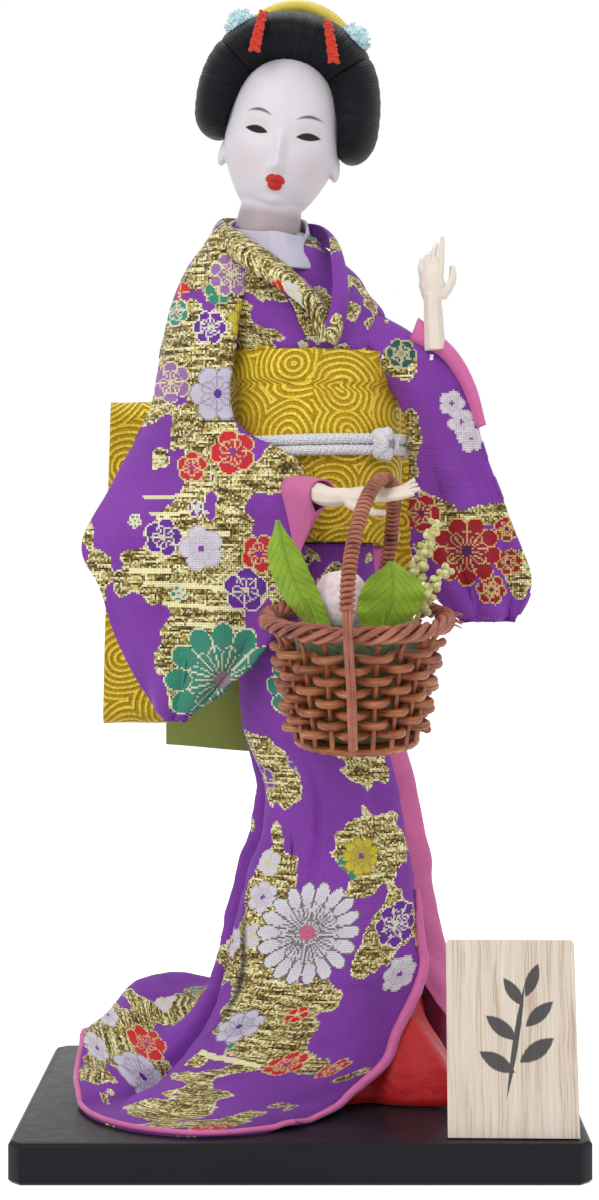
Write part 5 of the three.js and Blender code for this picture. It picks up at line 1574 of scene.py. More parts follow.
def turned(name, profile, sides):
    """A round form from radii and heights."""
    profile = np.array(profile, float)

    def place(u, v):
        spot = v * (len(profile) - 1)
        k = np.minimum(spot.astype(int), len(profile) - 2)
        share = (spot - k)[:, None]
        here = profile[k] * (1 - share) + profile[k + 1] * share
        angle = -TAU * u
        return stack(here[:, 0] * np.sin(angle), -here[:, 0] * np.cos(angle), here[:, 1])

    return cloth(name, place, sides, len(profile) * 6)


def egg(name, size, place, turn=(0, 0, 0), segments=24, rings=16):
    """An egg-shaped form: turned about X, Y and Z, in that order, then placed."""
    matrix = Matrix.Translation(place) @ Euler([radians(a) for a in turn], "ZYX").to_matrix().to_4x4()

    def form(angle, share):
        level = np.sin(pi * share)
        return stack(
            size[0] * level * np.sin(angle), -size[1] * level * np.cos(angle), size[2] * np.cos(pi * share)
        )

    return placed(ball(name, form, segments, rings), matrix)


def write_place(obj, name, matrix):
    """Keeps each point's place in a group's own frame as an attribute, in millimetres."""
    turn = np.array(matrix.to_3x3())
    local = (points_of(obj) / MM - np.array(matrix.translation)) @ turn
    layer = obj.data.attributes.new(name, "FLOAT_VECTOR", "POINT")
    layer.data.foreach_set("vector", local.astype(np.float32).ravel())


def painted_head(material):
    skull = ball("skull", head_point, 160, 140)
    neck = turned("neck", [(0.01, 14), (NECK_RADIUS, 9), (NECK_RADIUS, 4), (NECK_RADIUS + 0.6, -2),
                           (NECK_RADIUS + 0.8, -5), (4, -5), (4, -15), (0.01, -15)], 64)
    ears = [egg("ear", (1.7, 2.8, 4.6), (15.1 * side, 1.6, 18.4), (0, -12 * side, 0)) for side in (-1, 1)]
    obj = join("painted_head", skull, neck, *ears)
    placed(obj, HEAD_PLACE)
    rounded(obj, 0.3, 0.5, 4)
    write_place(obj, "head_place", HEAD_PLACE)
    done(obj, material, "head", "porcelain", "head")


HAIR_SIDE = 25.0
HAIR_TOP = 58.4
HAIR_ARCH = [
    [7 - HAIR_SIDE, 2, 20.9], [6.4 - HAIR_SIDE, 2, 27.6], [6.8 - HAIR_SIDE, 1.5, 36],
    [9.6 - HAIR_SIDE, 1, 43], [-8.6, 0, 48.8], [0, -0.5, HAIR_TOP - 7.7], [8.6, 0, 49],
    [HAIR_SIDE - 9.6, 1, 43.5], [HAIR_SIDE - 6.8, 1.5, 36.5], [HAIR_SIDE - 5.8, 2, 27.8],
    [HAIR_SIDE - 5.6, 2, 19.4],
]
ARCH_LENGTH = 96.0
ARCH_DEPTH = 13.0
ARCH_FLAT = 0.58
ARCH_ROUNDING = 0.11
PARTING = 0.31
PARTING_SOFTNESS = 1.5
ARCH_LOCKS = {
    # shares of the arch's length, from the doll's right to its left
    "hair_front": (PARTING, 1 - PARTING),
    "hair_wing_right": (0.0, PARTING),
    "hair_wing_left": (1 - PARTING, 1.0),
}
HAIR_EGGS = {
    # half sizes, place, turn
    "hair_back": ((17, 12.5, 17.5), (0, 11.5, 31.5), (10, 0, 0)),
    "hair_bun": ((12, 10, 8.6), (0, 14, 49), (24, 0, 0)),
}
FACE_OPENING = (15.6, 20.4, 22.0)


def clear_of_face(point):
    """Moves points that lie before the face out to the edge of its opening."""
    wide, tall, mid = FACE_OPENING
    x, z = point[:, 0] / wide, (point[:, 2] - mid) / tall
    away = np.sqrt(x * x + z * z)
    before = smoothstep(-point[:, 1], 0, 4)
    push = 1 + (np.where(away < 1, 1 / np.maximum(away, 0.2), 1) - 1) * before
    point[:, 0] *= push
    point[:, 2] = mid + (point[:, 2] - mid) * push
    return point


def arch_lock(node, material):
    """A lock of the arch: its strands run from the face over the top to the back of the arch."""
    first, last = ARCH_LOCKS[node]
    spine = curve_through(HAIR_ARCH)

    def form(u, v):
        t = first + (last - first) * v
        ahead = unit(spine(t + 0.004) - spine(t - 0.004))
        inward = stack(ahead[:, 2], 0, -ahead[:, 0])
        inward -= ahead * np.sum(inward * ahead, axis=1, keepdims=True)
        inward = unit(inward)
        beside = np.cross(ahead, inward)
        end = np.minimum(1, np.minimum(t, 1 - t) / ARCH_ROUNDING)
        radius = ARCH_DEPTH * (0.82 + 0.18 * np.sin(pi * t)) * np.sqrt(0.0005 + 0.9995 * (1 - (1 - end) ** 2))
        seam = np.minimum(v, 1 - v) * (last - first) * ARCH_LENGTH
        inner = (v > 0.5) if first == 0 else ((v < 0.5) if last == 1 else (v >= 0))
        near = np.where(inner, np.minimum(1, seam / PARTING_SOFTNESS), 1)
        dip = 0.6 * (1 - np.sqrt(1 - (1 - near) ** 2))
        run = t * ARCH_LENGTH
        comb = 0.05 * np.sin(TAU * run / 0.9 + 0.8 * np.sin(4 * TAU * u)) + 0.09 * np.sin(TAU * run / 3.1 + 2)
        reach = np.maximum(radius - dip + comb * end, 0.1)
        turn = TAU * u
        flat = ARCH_FLAT + 0.12 * hump(t, 0.5, 0.4) * np.maximum(np.cos(turn), 0)
        point = spine(t) + inward * (reach * flat * np.cos(turn))[:, None]
        return clear_of_face(point + beside * (reach * np.sin(turn))[:, None])

    def lay(u, v):
        run = (first + (last - first) * v) * ARCH_LENGTH
        return np.stack([run, 66.0 * u], axis=1)

    obj = cloth(node, form, 110, round(740 * (last - first)) + 60, lay=lay)
    placed(obj, HEAD_PLACE)
    face_out(obj)
    done(obj, material, "head", "hair", node)


def egg_lock(node, material):
    """A combed egg-shaped form with fine ridges."""
    size, place, turn = HAIR_EGGS[node]
    rotate = np.array(Euler([radians(a) for a in turn], "ZYX").to_matrix())

    def form(u, v):
        angle = -TAU * u
        tilt = pi * np.clip(v, 0.002, 0.998)
        level = np.sin(tilt)
        if node == "hair_bun":
            local = stack(np.cos(tilt), level * np.sin(angle), level * np.cos(angle))
        else:
            local = stack(level * np.sin(angle), -level * np.cos(angle), np.cos(tilt))
        ridge = 0.06 * np.sin(96 * TAU * u + 3.0 * np.sin(5 * v)) + 0.08 * np.sin(23 * TAU * u + 2) * level
        reach = np.array(size) + (ridge * level)[:, None]
        return clear_of_face((local * reach) @ rotate.T + np.array(place))

    obj = cloth(node, form, 520, 64)
    placed(obj, HEAD_PLACE)
    face_out(obj)
    done(obj, material, "head", "hair", node)


def combed_hair(material):
    for node in ARCH_LOCKS:
        arch_lock(node, material)
    for node in HAIR_EGGS:
        egg_lock(node, material)


BAND_ARC = 52
BAND_HALF = 17
BAND_RISE = 18.6
BAND_Z = 42.5


def hair_band(material):
    def place(u, v):
        turn = TAU * u
        at = np.radians(BAND_ARC * (2 * v - 1))
        centre = stack(BAND_HALF * np.sin(at), 5, BAND_Z + BAND_RISE * np.cos(at))
        out = stack(np.sin(at), 0, np.cos(at))
        pucker = 1 + 0.06 * np.sin(40 * TAU * v)
        return centre + out * (2.0 * pucker * np.cos(turn))[:, None] + stack(0, 2.6 * np.sin(turn), 0 * u)

    obj = cloth("yellow_hair_band", place, 40, 200)
    face_out(obj)
    done(placed(obj, HEAD_PLACE), material, "head", "yellow_band", "hair_band")


RIBBON_TOP = 54.5
RIBBON_DROP = 11.3
RIBBON_WIDTH = 2.3
RIBBONS = {"right": (-9.2, -4.0), "left": (8.4, 37.0)}


def crinkled_ribbons(material):
    for side, (x, slant) in RIBBONS.items():

        def place(u, v, x=x, slant=slant):
            rise = RIBBON_TOP - RIBBON_DROP * v
            crimp = 0.5 * np.sin(13 * TAU * v) + 0.25 * np.sin(23 * TAU * v + 3 * u)
            y = -11.4 - 4.5 * np.sqrt(v) - crimp
            wide = RIBBON_WIDTH * (0.85 + 0.45 * v)
            return stack(x + wide * (u - 0.5) + slant * 0.1 * v, y, rise + 0.25 * np.sin(9 * u + 30 * v))

        obj = cloth(f"red_{side}_ribbon", place, 14, 160, ring=False)
        placed(obj, HEAD_PLACE)
        thicken(obj, 0.5)
        done(obj, material, "head", "red_ribbon", f"ribbon_{side}")


POMPOMS = {"right": (-15.6, -3, 51.8), "left": (15.4, -3, 52.4)}
POMPOM_RADIUS = 4.8
TUFTS = 420


def fluffy_pompoms(material):
    """Balls of many short curled yarn ends."""
    for side, place in POMPOMS.items():
        rng = np.random.default_rng(len(side))
        paths = []
        for _ in range(TUFTS):
            way = rng.normal(size=3)
            way /= np.linalg.norm(way)
            bend = np.cross(way, rng.normal(size=3)) * 0.35
            reach = POMPOM_RADIUS * rng.uniform(0.8, 1.04)
            paths.append(
                [np.array(place) + way * r * reach + bend * r * r * 1.4 for r in (0.3, 0.55, 0.8, 1.0)]
            )
        yarn = strand("yarn", [np.array(path) for path in paths], 0.3, 1, radii=lambda t: 1 - 0.45 * t)
        heart = egg("heart", (4.0, 4.0, 4.0), place)
        obj = join(f"blue_{side}_pompom", yarn, heart)
        done(placed(obj, HEAD_PLACE), material, "head", "fluff", f"pompom_{side}")


# Basket, in its own frame, whose origin is the middle of its underside

BASKET_PLACE = Matrix.Translation((14.3, -28.7, 107.1)) @ Matrix.Rotation(radians(8), 4, "X")
BASKET_FOOT = 15.2
BASKET_TOP = 20.0
BASKET_HEIGHT = 29.0
STAKES = 19
STAKE_RADIUS = 0.65
CANE_RADIUS = 0.95
WEAVE_ROWS = 8
WEAVE_LOW = 3.5
WEAVE_HIGH = 26.45
WEAVE_REACH = 2.35
RIM_RADIUS = 22.9
RIM_Z = 32.4
RIM_STRAND = 0.88
RIM_SWING = 1.5
RIM_TWISTS = 17
HANDLE = [
    [-1.2, -20, 3], [-1.7, -23, 19], [-2.6, -27, 33], [-2.6, -24, 45], [-0.5, -14, 57], [3, -3, 65],
    [6.5, 7.4, 67.4], [9.5, 17, 63.8], [9.8, 24, 54.6], [8.6, 27.2, 43], [7.4, 26.4, 33], [5.6, 22.7, 19],
    [4.6, 19.8, 3],
]
WINDING_START = 0.23
WINDING_TURNS = 60
WINDING_HALF = (1.42, 1.1)
WINDING_CANE = 0.6
HANDLE_CANE = 0.75


def around(radius, angle, z):
    return stack(radius * np.cos(angle), radius * np.sin(angle), z)


def wall_radius(z):
    return BASKET_FOOT + (BASKET_TOP - BASKET_FOOT) * z / BASKET_HEIGHT


def basket_frame(material):
    paths = []
    for k in range(STAKES):
        angle = TAU * k / STAKES
        z = np.array([0.8, BASKET_HEIGHT - 1.4, BASKET_HEIGHT + 0.8])
        paths.append(around(wall_radius(z) + np.array([0, 0, 1.2]), angle, z))
    stakes = strand("stakes", paths, STAKE_RADIUS, 3)
    coil = np.linspace(0, TAU * 9, 900)
    spiral = strand("floor", [around(0.6 + (BASKET_FOOT - 0.4) * coil / coil[-1], coil, 1.2)], 0.85, 2)
    edge = np.linspace(0, TAU, 140, endpoint=False)
    foot = strand(
        "foot", [around(BASKET_FOOT + 0.1, edge, 1.0 + 0.15 * np.sin(30 * edge))], 0.9, 3, closed=True
    )
    obj = join("basket_bottom_and_stakes", stakes, spiral, foot)
    done(placed(obj, BASKET_PLACE), material, "basket", "cane", "basket_frame")


def basket_weave(material):
    """One long cane runs round, outside one stake and inside the next."""
    steps = STAKES * WEAVE_ROWS * 10
    t = np.arange(steps + 1) / 10
    z = WEAVE_LOW + (WEAVE_HIGH - WEAVE_LOW) * t / (STAKES * WEAVE_ROWS)
    swing = np.cos(pi * t)
    swing = np.sign(swing) * np.abs(swing) ** 0.8
    rng = np.random.default_rng(7)
    knots = np.arange(0, t[-1] + 1, 2)
    uneven = np.interp(t, knots, rng.normal(scale=0.1, size=len(knots)))
    path = around(wall_radius(z) + WEAVE_REACH * swing, TAU * t / STAKES, z + uneven)
    obj = strand("woven_cane", [path], CANE_RADIUS * 1.18, 3)
    done(placed(obj, BASKET_PLACE), material, "basket", "cane", "basket_weave")


def basket_rim(material):
    """The border: canes twisted about each other, with a few loose ends at the right."""
    turn = np.linspace(0, 2 * TAU, 1400, endpoint=False)
    paths = []
    for ply in range(2):
        twist = turn * RIM_TWISTS / 2 + 0.5 * pi * ply
        lift = 0.35 * np.sin(2.5 * turn)
        paths.append(
            around(RIM_RADIUS + RIM_SWING * np.cos(twist), turn, RIM_Z + RIM_SWING * np.sin(twist) + lift)
        )
    border = strand("border", paths, RIM_STRAND, 3, closed=True)
    rng = np.random.default_rng(3)
    ends = []
    for k in range(9):
        angle = -0.18 + 0.045 * k
        start = around(RIM_RADIUS + 0.4, angle, RIM_Z + rng.uniform(-1.2, 1.2))
        tip = around(
            RIM_RADIUS + 3.2 + rng.uniform(0, 1.6), angle + rng.uniform(-0.06, 0.06),
            RIM_Z + rng.uniform(-2.4, 1.6)
        )
        ends.append(spread([start, (start + tip) / 2 + [0, 0, 0.4], tip], 8))
    loose = strand("loose_ends", ends, 0.32, 2, radii=lambda s: 1 - 0.5 * s)
    obj = join("twisted_border", border, loose)
    done(placed(obj, BASKET_PLACE), material, "basket", "cane", "basket_rim")


def basket_handle(material):
    line = spread(HANDLE, 180)
    core = strand("handle_canes", [line + [0.5, 0, 0], line - [0.5, 0, 0]], HANDLE_CANE, 3)
    done(placed(core, BASKET_PLACE), material, "basket", "cane", "basket_handle")
    fine = spread(HANDLE, 2000)
    first, last = round(2000 * WINDING_START), round(2000 * (1 - WINDING_START))
    centre = fine[first:last]
    ahead = unit(np.gradient(centre, axis=0))
    across = unit(np.array([1.0, 0, 0]) - ahead * ahead[:, :1])
    beside = np.cross(ahead, across)
    turn = np.linspace(0, TAU * WINDING_TURNS, len(centre))
    aside = across * (WINDING_HALF[0] * np.cos(turn))[:, None]
    path = centre + aside + beside * (WINDING_HALF[1] * np.sin(turn))[:, None]
    winding = strand("wound_cane", [path], WINDING_CANE, 2)
    done(placed(winding, BASKET_PLACE), material, "basket", "cane", "handle_winding")


LEAVES = {
    # foot, tip, width, bend
    "right": ((-9, -11.5, 31.5), (-20, -12, 59), 9.5, -2.0),
    "left": ((6, -9.5, 31.5), (8.5, -14, 49), 16.0, 1.5),
}
LEAF_STALK = 8.0
TEETH = 9


def cloth_leaves(material):
    for side, (foot, tip, width, bend) in LEAVES.items():
        low, high = np.array(foot, float), np.array(tip, float)

        def place(u, v, low=low, high=high, width=width, bend=bend):
            point = low + (high - low) * v[:, None]
            level = np.sin(pi * np.minimum(1, v * 0.86 + 0.12))
            tooth = 1 + 0.07 * (1 - np.mod(v * TEETH, 1)) * np.abs(2 * u - 1)
            half = width * (0.06 + 0.94 * level**0.8) * tooth * (1 - smoothstep(v, 0.75, 1.0) * 0.55)
            point[:, 0] += half * (u - 0.5) + bend * np.sin(pi * v)
            cup = 4.4 * np.abs(u - 0.5) ** 1.2
            point[:, 1] += cup + 1.6 * v * v + 0.35 * np.sin(20 * v) * np.abs(2 * u - 1)
            return point

        blade = cloth("blade", place, 60, 110, ring=False)
        thicken(blade, 0.45, offset=0)
        stalk = strand("stalk", [[low - [0, 0, LEAF_STALK], low, low + (high - low) * 0.3]], 0.5, 2)
        obj = join(f"{side}_leaf", blade, stalk)
        done(placed(obj, BASKET_PLACE), material, "basket", "leaf", f"leaf_{side}")


BUD_RADIUS = 7.0
BUD_PLACE = (-4, -2.5, 38)


def soft_bud(material):
    def form(angle, share):
        level = np.sin(pi * share)
        at = stack(level * np.sin(angle), -level * np.cos(angle), np.cos(pi * share) * 1.05)
        fuzz = 1 + 0.035 * ripple(*(at.T * 6), 5, 81) + 0.012 * ripple(*(at.T * 6), 1.3, 82)
        return at * (BUD_RADIUS * fuzz)[:, None] + np.array(BUD_PLACE)

    obj = ball("soft_bud", form, 110, 80)
    done(placed(obj, BASKET_PLACE), material, "basket", "bud", "flower_bud")


SPRAYS = {
    "flower_spray_1": ([[8, 3, 22], [13.5, 2, 38], [16.5, 1, 48], [20, 1, 57]], 26),
    "flower_spray_2": ([[10.5, -3, 22], [16.5, -3, 36], [20, -3, 42.5], [23.5, -3, 46]], 18),
}


def bead_sprays(material):
    """Stalks with many small round flowers."""
    for node, (path, count) in SPRAYS.items():
        stalk = strand("stalk", [spread(path, 40)], 0.6, 2)
        along = spread(path, 200)
        rng = np.random.default_rng(len(path) + count)
        beads = []
        for k in range(count):
            share = k / (count - 1)
            centre = along[round(100 + 99 * share)]
            away = 1.9 - 0.7 * share
            angle = 2.4 * k
            spot = centre + [away * cos(angle), away * sin(angle), rng.uniform(-0.6, 0.6)]
            size = 1.25 - 0.35 * share + rng.uniform(-0.15, 0.15)
            beads.append(egg("bead", (size, size, size * 0.9), spot, segments=14, rings=9))
        obj = join(node.replace("flower", "bobbly"), stalk, *beads)
        done(placed(obj, BASKET_PLACE), material, "basket", "blossom", node)


# Board, plaque and what stays hidden inside

PLAQUE_THICKNESS = 2.6
PLAQUE_PLACE = Matrix.Translation((53.2, -45.6, HEM_Z)) @ Euler(
    (radians(-21), 0, radians(-1.5)), "XYZ"
).to_matrix().to_4x4()


def softened_edges(obj, width):
    modify(obj, "BEVEL", width=width * MM, segments=3, limit_method="ANGLE", angle_limit=radians(25))


def lacquered_board(material):
    obj = copy_of("base_plinth", "lacquered_board")
    softened_edges(obj, 0.22)
    done(obj, material, "root", "lacquer", "base_plinth")
    pick(obj)
    bpy.ops.object.shade_smooth_by_angle(angle=radians(35))


def leaning_plaque(material):
    obj = copy_of("plaque", "leaning_plaque")
    softened_edges(obj, 0.3)
    write_place(obj, "plaque_place", PLAQUE_PLACE)
    done(obj, material, "root", "pale_wood", "plaque")
    pick(obj)
    bpy.ops.object.shade_smooth_by_angle(angle=radians(35))


HIDDEN = {
    "support_rod": "drawn steel", "rod_screw": "drawn steel", "arm_wire_right": "drawn steel",
    "arm_wire_left": "drawn steel", "body_form": "cotton padding", "torso_core": "cotton padding",
    "flower_foam": "flower foam",
}


def inner_pieces():
    """What shows little or not at all keeps its CAD form; what is soft gets a rounded copy."""
    for node, look in HIDDEN.items():
        if look == "drawn steel":
            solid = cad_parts[node]
            solid.data.materials.clear()
            solid.data.materials.append(finish(look))
            continue
        obj = copy_of(node, node + "_filling")
        modify(obj, "BEVEL", width=0.4 * MM, segments=2, limit_method="ANGLE", angle_limit=radians(40))
        body = "basket" if node == "flower_foam" else "root"
        done(obj, finish(look), body, "foam" if node == "flower_foam" else "padding", node)


# Settings, finishes by name, operators and panel


def colour(name, description, default):
    return FloatVectorProperty(
        name=name, description=description, subtype="COLOR", size=3, min=0, max=1, default=default
    )


def size(name, description, default, least, most):
    return FloatProperty(name=name, description=description, unit="LENGTH", subtype="DISTANCE", precision=5,
                         default=default * MM, min=least * MM, max=most * MM)


class KimonoDollLook(bpy.types.PropertyGroup):
    """Colours and fineness of the doll's surfaces."""

    purple: colour("Purple Silk", "Ground of the kimono's brocade", (0.27, 0.055, 0.46))
    gold: colour("Golden Thread", "Thread of the sash and bow", (0.76, 0.52, 0.02))
    red: colour("Red Satin", "Underskirt", (0.55, 0.008, 0.012))
    pink: colour("Pink Satin", "Lining layer and cuffs", (0.7, 0.15, 0.4))
    porcelain: colour("Face Paint", "Painted face", (0.78, 0.745, 0.79))
    skin: colour("Hand Paint", "Painted hands", (0.86, 0.75, 0.65))
    lips: colour("Lip Paint", "Mouth", (0.6, 0.03, 0.025))
    lacquer: colour("Lacquer", "Board", (0.012, 0.011, 0.015))
    pale_wood: colour("Pale Wood", "Plaque", (0.77, 0.67, 0.56))
    leaf: colour("Leaf", "Leaves in the basket", (0.27, 0.44, 0.012))
    thread_pitch: size("Thread Pitch", "Distance between the brocade's threads", 0.62, 0.2, 2.0)
    ring_step: size("Ring Step", "Distance between the rings woven into the sash", 1.75, 0.8, 6.0)


SKIRT_LAYOUT = {
    "scatter": 0.25,
    "clouds": [
        (8.5, 62, 8, 18, 0, 0.7), (-20.4, 62, 8, 8, 0, 0.7), (-17.4, 85, 12, 12, 0, 0.7),
        (11, 105, 10, 19, 10, 0.8), (-6, 116, 19, 12, 0, 0.6), (-5, 135, 19, 8, -23, 0.8),
        (44, 146, 18, 7, 69, 0.8), (-19, 171, 11, 10, 0, 0.7), (-28, 104, 8, 12, 0, 0.6),
        (-20, 146, 11, 7, 0, 0.5), (28, 163, 14, 12, 0, 0.6), (30, 175, 16, 9, -50, 0.6),
        (-40, 183, 12, 7, 0, 0.5), (3, 153, 12, 6, -40, 0.5), (22, 118, 5, 14, 0, 0.5),
        (-4, 40, 10, 9, 0, 0.4), (-10, 47, 22, 6, 0, -0.7), (-6, 72, 7, 12, 0, -0.7),
        (-32, 133, 12, 9, 0, -0.8), (22, 78, 9, 14, 0, -0.7), (-2, 91, 8, 6, 0, -0.5),
        (5, 163, 9, 7, 0, -0.6), (-40, 155, 18, 7, 0, -0.6), (14, 145, 7, 8, 0, -0.7),
    ],
    "bars": [(-4.2, 146.2, 11, 0.9, -8), (8, 58, 5, 0.5, 0), (10, 66, 5, 0.5, 0)],
    # creases: painted shadow down the deep fold, then a thin dark seam line
    "creases": [(13.0, 118, 27, 1.7, 102), (6, 84.5, 5.5, 0.5, 95)],
    "blossoms": [
        (-13.9, 85.1, 5.4, 9, "yellow"), (12.1, 97.1, 4.6, 6, "plain white"), (2.4, 134.5, 6.2, 7, "pale"),
        (19.8, 110.3, 4.2, 6, "plain white"), (-28.5, 103.6, 6.6, 8, "purple"),
        (-32.5, 117.2, 5.2, 7, "plain white"), (-20.7, 145.6, 5.4, 6, "red"), (-36.4, 146.0, 3.8, 5, "red"),
        (32.3, 158.4, 7.2, 6, "red"), (20.8, 165.5, 7.8, 7, "pale"), (38.6, 171.0, 4.6, 6, "plain white"),
        (25.4, 179.0, 5.0, 6, "plain white"), (-45.0, 184.0, 5.0, 6, "red"), (-4.0, 39.0, 9.0, 8, "teal"),
        (-3.1, 105.9, 14.3, 18, "white"),
    ],
}
BODICE_LAYOUT = {
    "scatter": 0.3,
    "blossoms": [(-13.2, 240.0, 5.4, 6, "purple"), (-11.9, 233.0, 4.0, 6, "yellow")],
}
RIGHT_COLLAR_LAYOUT = {"scatter": 0.5}
LEFT_COLLAR_LAYOUT = {"scatter": 0.3}
SLEEVE_RIGHT_LAYOUT = {
    "scatter": 0.12,
    "clouds": [
        (-24, 239, 7, 5, 0, 0.7), (-25, 221, 11, 5, 20, 0.7), (-15, 219, 6, 9, 0, 0.6),
        (-22, 203, 12, 12, 0, 0.7), (-20, 230, 9, 7, 0, 0.5), (-24, 186, 11, 9, -30, 0.7),
        (-5, 178, 11, 7, 0, 0.7), (-35, 214, 5, 10, -15, 0.5), (-32, 152, 19, 17, -10, 0.8),
        (-16, 148, 12, 14, 0, 0.7), (-56, 151, 4, 7, 0, 0.6), (-29, 171, 4, 12, 0, 0.5),
        (-50, 168, 8, 16, 0, -0.7), (-48, 132, 9, 14, -30, -0.8), (-52, 185, 10, 14, 0, -0.8),
        (-7, 167, 9, 3, 0, -0.6), (-38, 172, 7, 5, 0, -0.6),
    ],
    "bars": [
        (-31, 160.5, 12, 0.55, 0), (-30, 146.5, 13, 0.6, -4), (-27, 141.0, 11, 0.55, -4),
        (-22, 135.6, 9, 0.6, -6), (-33, 166.0, 8, 0.5, 3), (-36, 170.4, 7, 0.5, 3), (-41, 150.5, 6, 0.6, 0),
    ],
    "blossoms": [
        (-22.8, 198.0, 7.8, 6, "pale"), (-19.4, 230.3, 6.2, 8, "lilac"), (-13.2, 240.0, 5.4, 6, "purple"),
        (-25.1, 216.0, 4.9, 6, "purple"), (-14.6, 218.0, 5.6, 7, "yellow"), (-18.6, 182.2, 6.4, 5, "red"),
        (-29.7, 178.4, 4.4, 5, "red"), (-35.9, 201.4, 6.0, 6, "lilac"), (-34.6, 220.6, 4.0, 5, "teal"),
        (-28.4, 167.1, 2.5, 5, "purple"), (-37.3, 159.5, 5.4, 5, "purple"), (-45.1, 163.9, 2.0, 5, "teal"),
        (-27.0, 156.6, 6.2, 5, "plain white"), (-15.2, 145.5, 6.2, 5, "purple"),
        # the darker teal blossom on this line, behind the basket, is painted in shade
        (-11.4, 155.2, 5.3, 5, "red"), (-33.2, 144.4, 2.4, 5, "teal"), (-7.0, 119.0, 6.0, 6, "dark teal"),
        (-21.4, 121.4, 15.7, 12, "teal"),
    ],
}
SLEEVE_LEFT_LAYOUT = {
    "scatter": 0.15,
    "clouds": [
        (26, 206, 4, 8, 0, 0.3), (27, 188, 4, 9, 0, 0.35), (51, 166, 8, 3, 0, 0.6), (58, 150, 4, 9, 0, 0.6),
        (33, 214, 7, 4, -30, 0.7), (42, 178, 11, 8, 0, -0.8), (37, 196, 7, 12, 0, -0.8),
        (45, 144, 8, 5, 0, -0.6),
    ],
    "blossoms": [
        (40.0, 195.5, 3.6, 5, "plain white"), (42.6, 190.5, 3.8, 5, "plain white"),
        # the darker teal blossom on this line, by the sash, is painted in shade
        (45.2, 186.0, 3.8, 5, "plain white"), (26.5, 209.0, 4.4, 6, "dark teal"),
        # the darker red blossoms here are painted in shade
        (54.6, 161.7, 3.6, 6, "deep red"), (55.4, 152.8, 3.8, 6, "deep red"),
        (50.5, 145.5, 4.2, 6, "deep red"), (32.0, 166.0, 5.4, 5, "deep red"),
        (44.0, 155.8, 9.6, 9, "deep red"),
    ],
}
SPRIG = [
    ((1.0, 23.0), (15.0, 0.75), radians(80)), ((-3.8, 17.5), (5.2, 2.0), radians(150)),
    ((6.2, 20.5), (5.4, 2.1), radians(35)), ((-2.6, 26.0), (5.0, 1.9), radians(142)),
    ((7.0, 29.5), (4.8, 1.8), radians(42)), ((0.6, 35.0), (4.4, 1.6), radians(125)),
    ((5.4, 38.0), (4.6, 1.6), radians(68)),
]

FINISHES = {
    "skirt brocade": (brocade, SKIRT_LAYOUT, 3.0, 0.4),
    "bodice brocade": (brocade, BODICE_LAYOUT, 40.0, 0.5),
    "right collar brocade": (brocade, RIGHT_COLLAR_LAYOUT, 12.0, 0.72),
    "left collar brocade": (brocade, LEFT_COLLAR_LAYOUT, 90.0, 0.36),
    "right sleeve brocade": (brocade, SLEEVE_RIGHT_LAYOUT, 71.0, 0.44),
    "left sleeve brocade": (brocade, SLEEVE_LEFT_LAYOUT, 133.0, 0.42),
    "sash brocade": (gold_brocade, 17.0),
    "bow brocade": (gold_brocade, 19.0),
    "red satin": (satin, "red", 0.4),
    "pink satin": (satin, "pink", 0.42),
    "yellow silk": (satin, (0.82, 0.66, 0.1), 0.45),
    "red crepe": (satin, (0.68, 0.04, 0.015), 0.5),
    "pale cloth": (plain_cloth, (0.72, 0.68, 0.84), 0.45),
    "white cotton": (plain_cloth, (0.85, 0.85, 0.88), 0.5),
    "green lining": (plain_cloth, (0.3, 0.36, 0.07), 0.5),
    "white cord": (braid, (0.95, 0.95, 1.0)),
    "combed hair": (hair_finish,),
    "painted face": (face_finish,),
    "painted skin": (painted, "skin", 0.45),
    "stained cane": (cane_finish, (0.05, 0.012, 0.005), (0.36, 0.095, 0.03), (0.62, 0.3, 0.11)),
    "brick cane": (cane_finish, (0.06, 0.014, 0.01), (0.36, 0.1, 0.055), (0.55, 0.22, 0.12)),
    "black lacquer": (lacquer_finish,),
    "pale wood": (wood_finish, SPRIG),
    "cloth leaf": (leaf_finish,),
    "soft bud": (fluffy, (0.9, 0.78, 0.82), (0.8, 0.55, 0.64), 2.6),
    "bead flowers": (fluffy, (0.82, 0.8, 0.36), (0.5, 0.44, 0.1), 1.4),
    "blue yarn": (fluffy, (0.68, 0.88, 0.93), (0.4, 0.66, 0.72), 1.6),
    "flower foam": (fluffy, (0.12, 0.2, 0.08), (0.05, 0.09, 0.03), 1.2),
    "cotton padding": (fluffy, (0.7, 0.64, 0.54), (0.5, 0.45, 0.38), 3.0),
    "drawn steel": (steel_finish,),
}


def finish(name):
    """A material by name, made on first use; a word among its values is a colour of the panel."""
    if name not in bpy.data.materials:
        make, *values = FINISHES[name]
        make(name, *(getattr(settings(), value) if isinstance(value, str) else value for value in values))
    return bpy.data.materials[name]


class KIMONODOLL_OT_stand(bpy.types.Operator):
    """Finish the lacquered board and the leaning plaque"""

    bl_idname = "kimono_doll.stand"
    bl_label = "Board and Plaque"

    def execute(self, context):
        lacquered_board(finish("black lacquer"))
        leaning_plaque(finish("pale wood"))
        return {"FINISHED"}


class KIMONODOLL_OT_inside(bpy.types.Operator):
    """Finish the rod, the wires and the padding inside"""

    bl_idname = "kimono_doll.inside"
    bl_label = "Rod, Wires and Padding"

    def execute(self, context):
        inner_pieces()
        hidden_pad(finish("cotton padding"))
        return {"FINISHED"}


class KIMONODOLL_OT_skirts(bpy.types.Operator):
    """Sew the underskirt, the pink layer and the brocade skirt with its train"""

    bl_idname = "kimono_doll.skirts"
    bl_label = "Skirts"

    def execute(self, context):
        red_underskirt(finish("red satin"))
        pink_layer(finish("pink satin"))
        brocade_skirt(finish("skirt brocade"))
        hem_roll(finish("pink satin"))
        return {"FINISHED"}


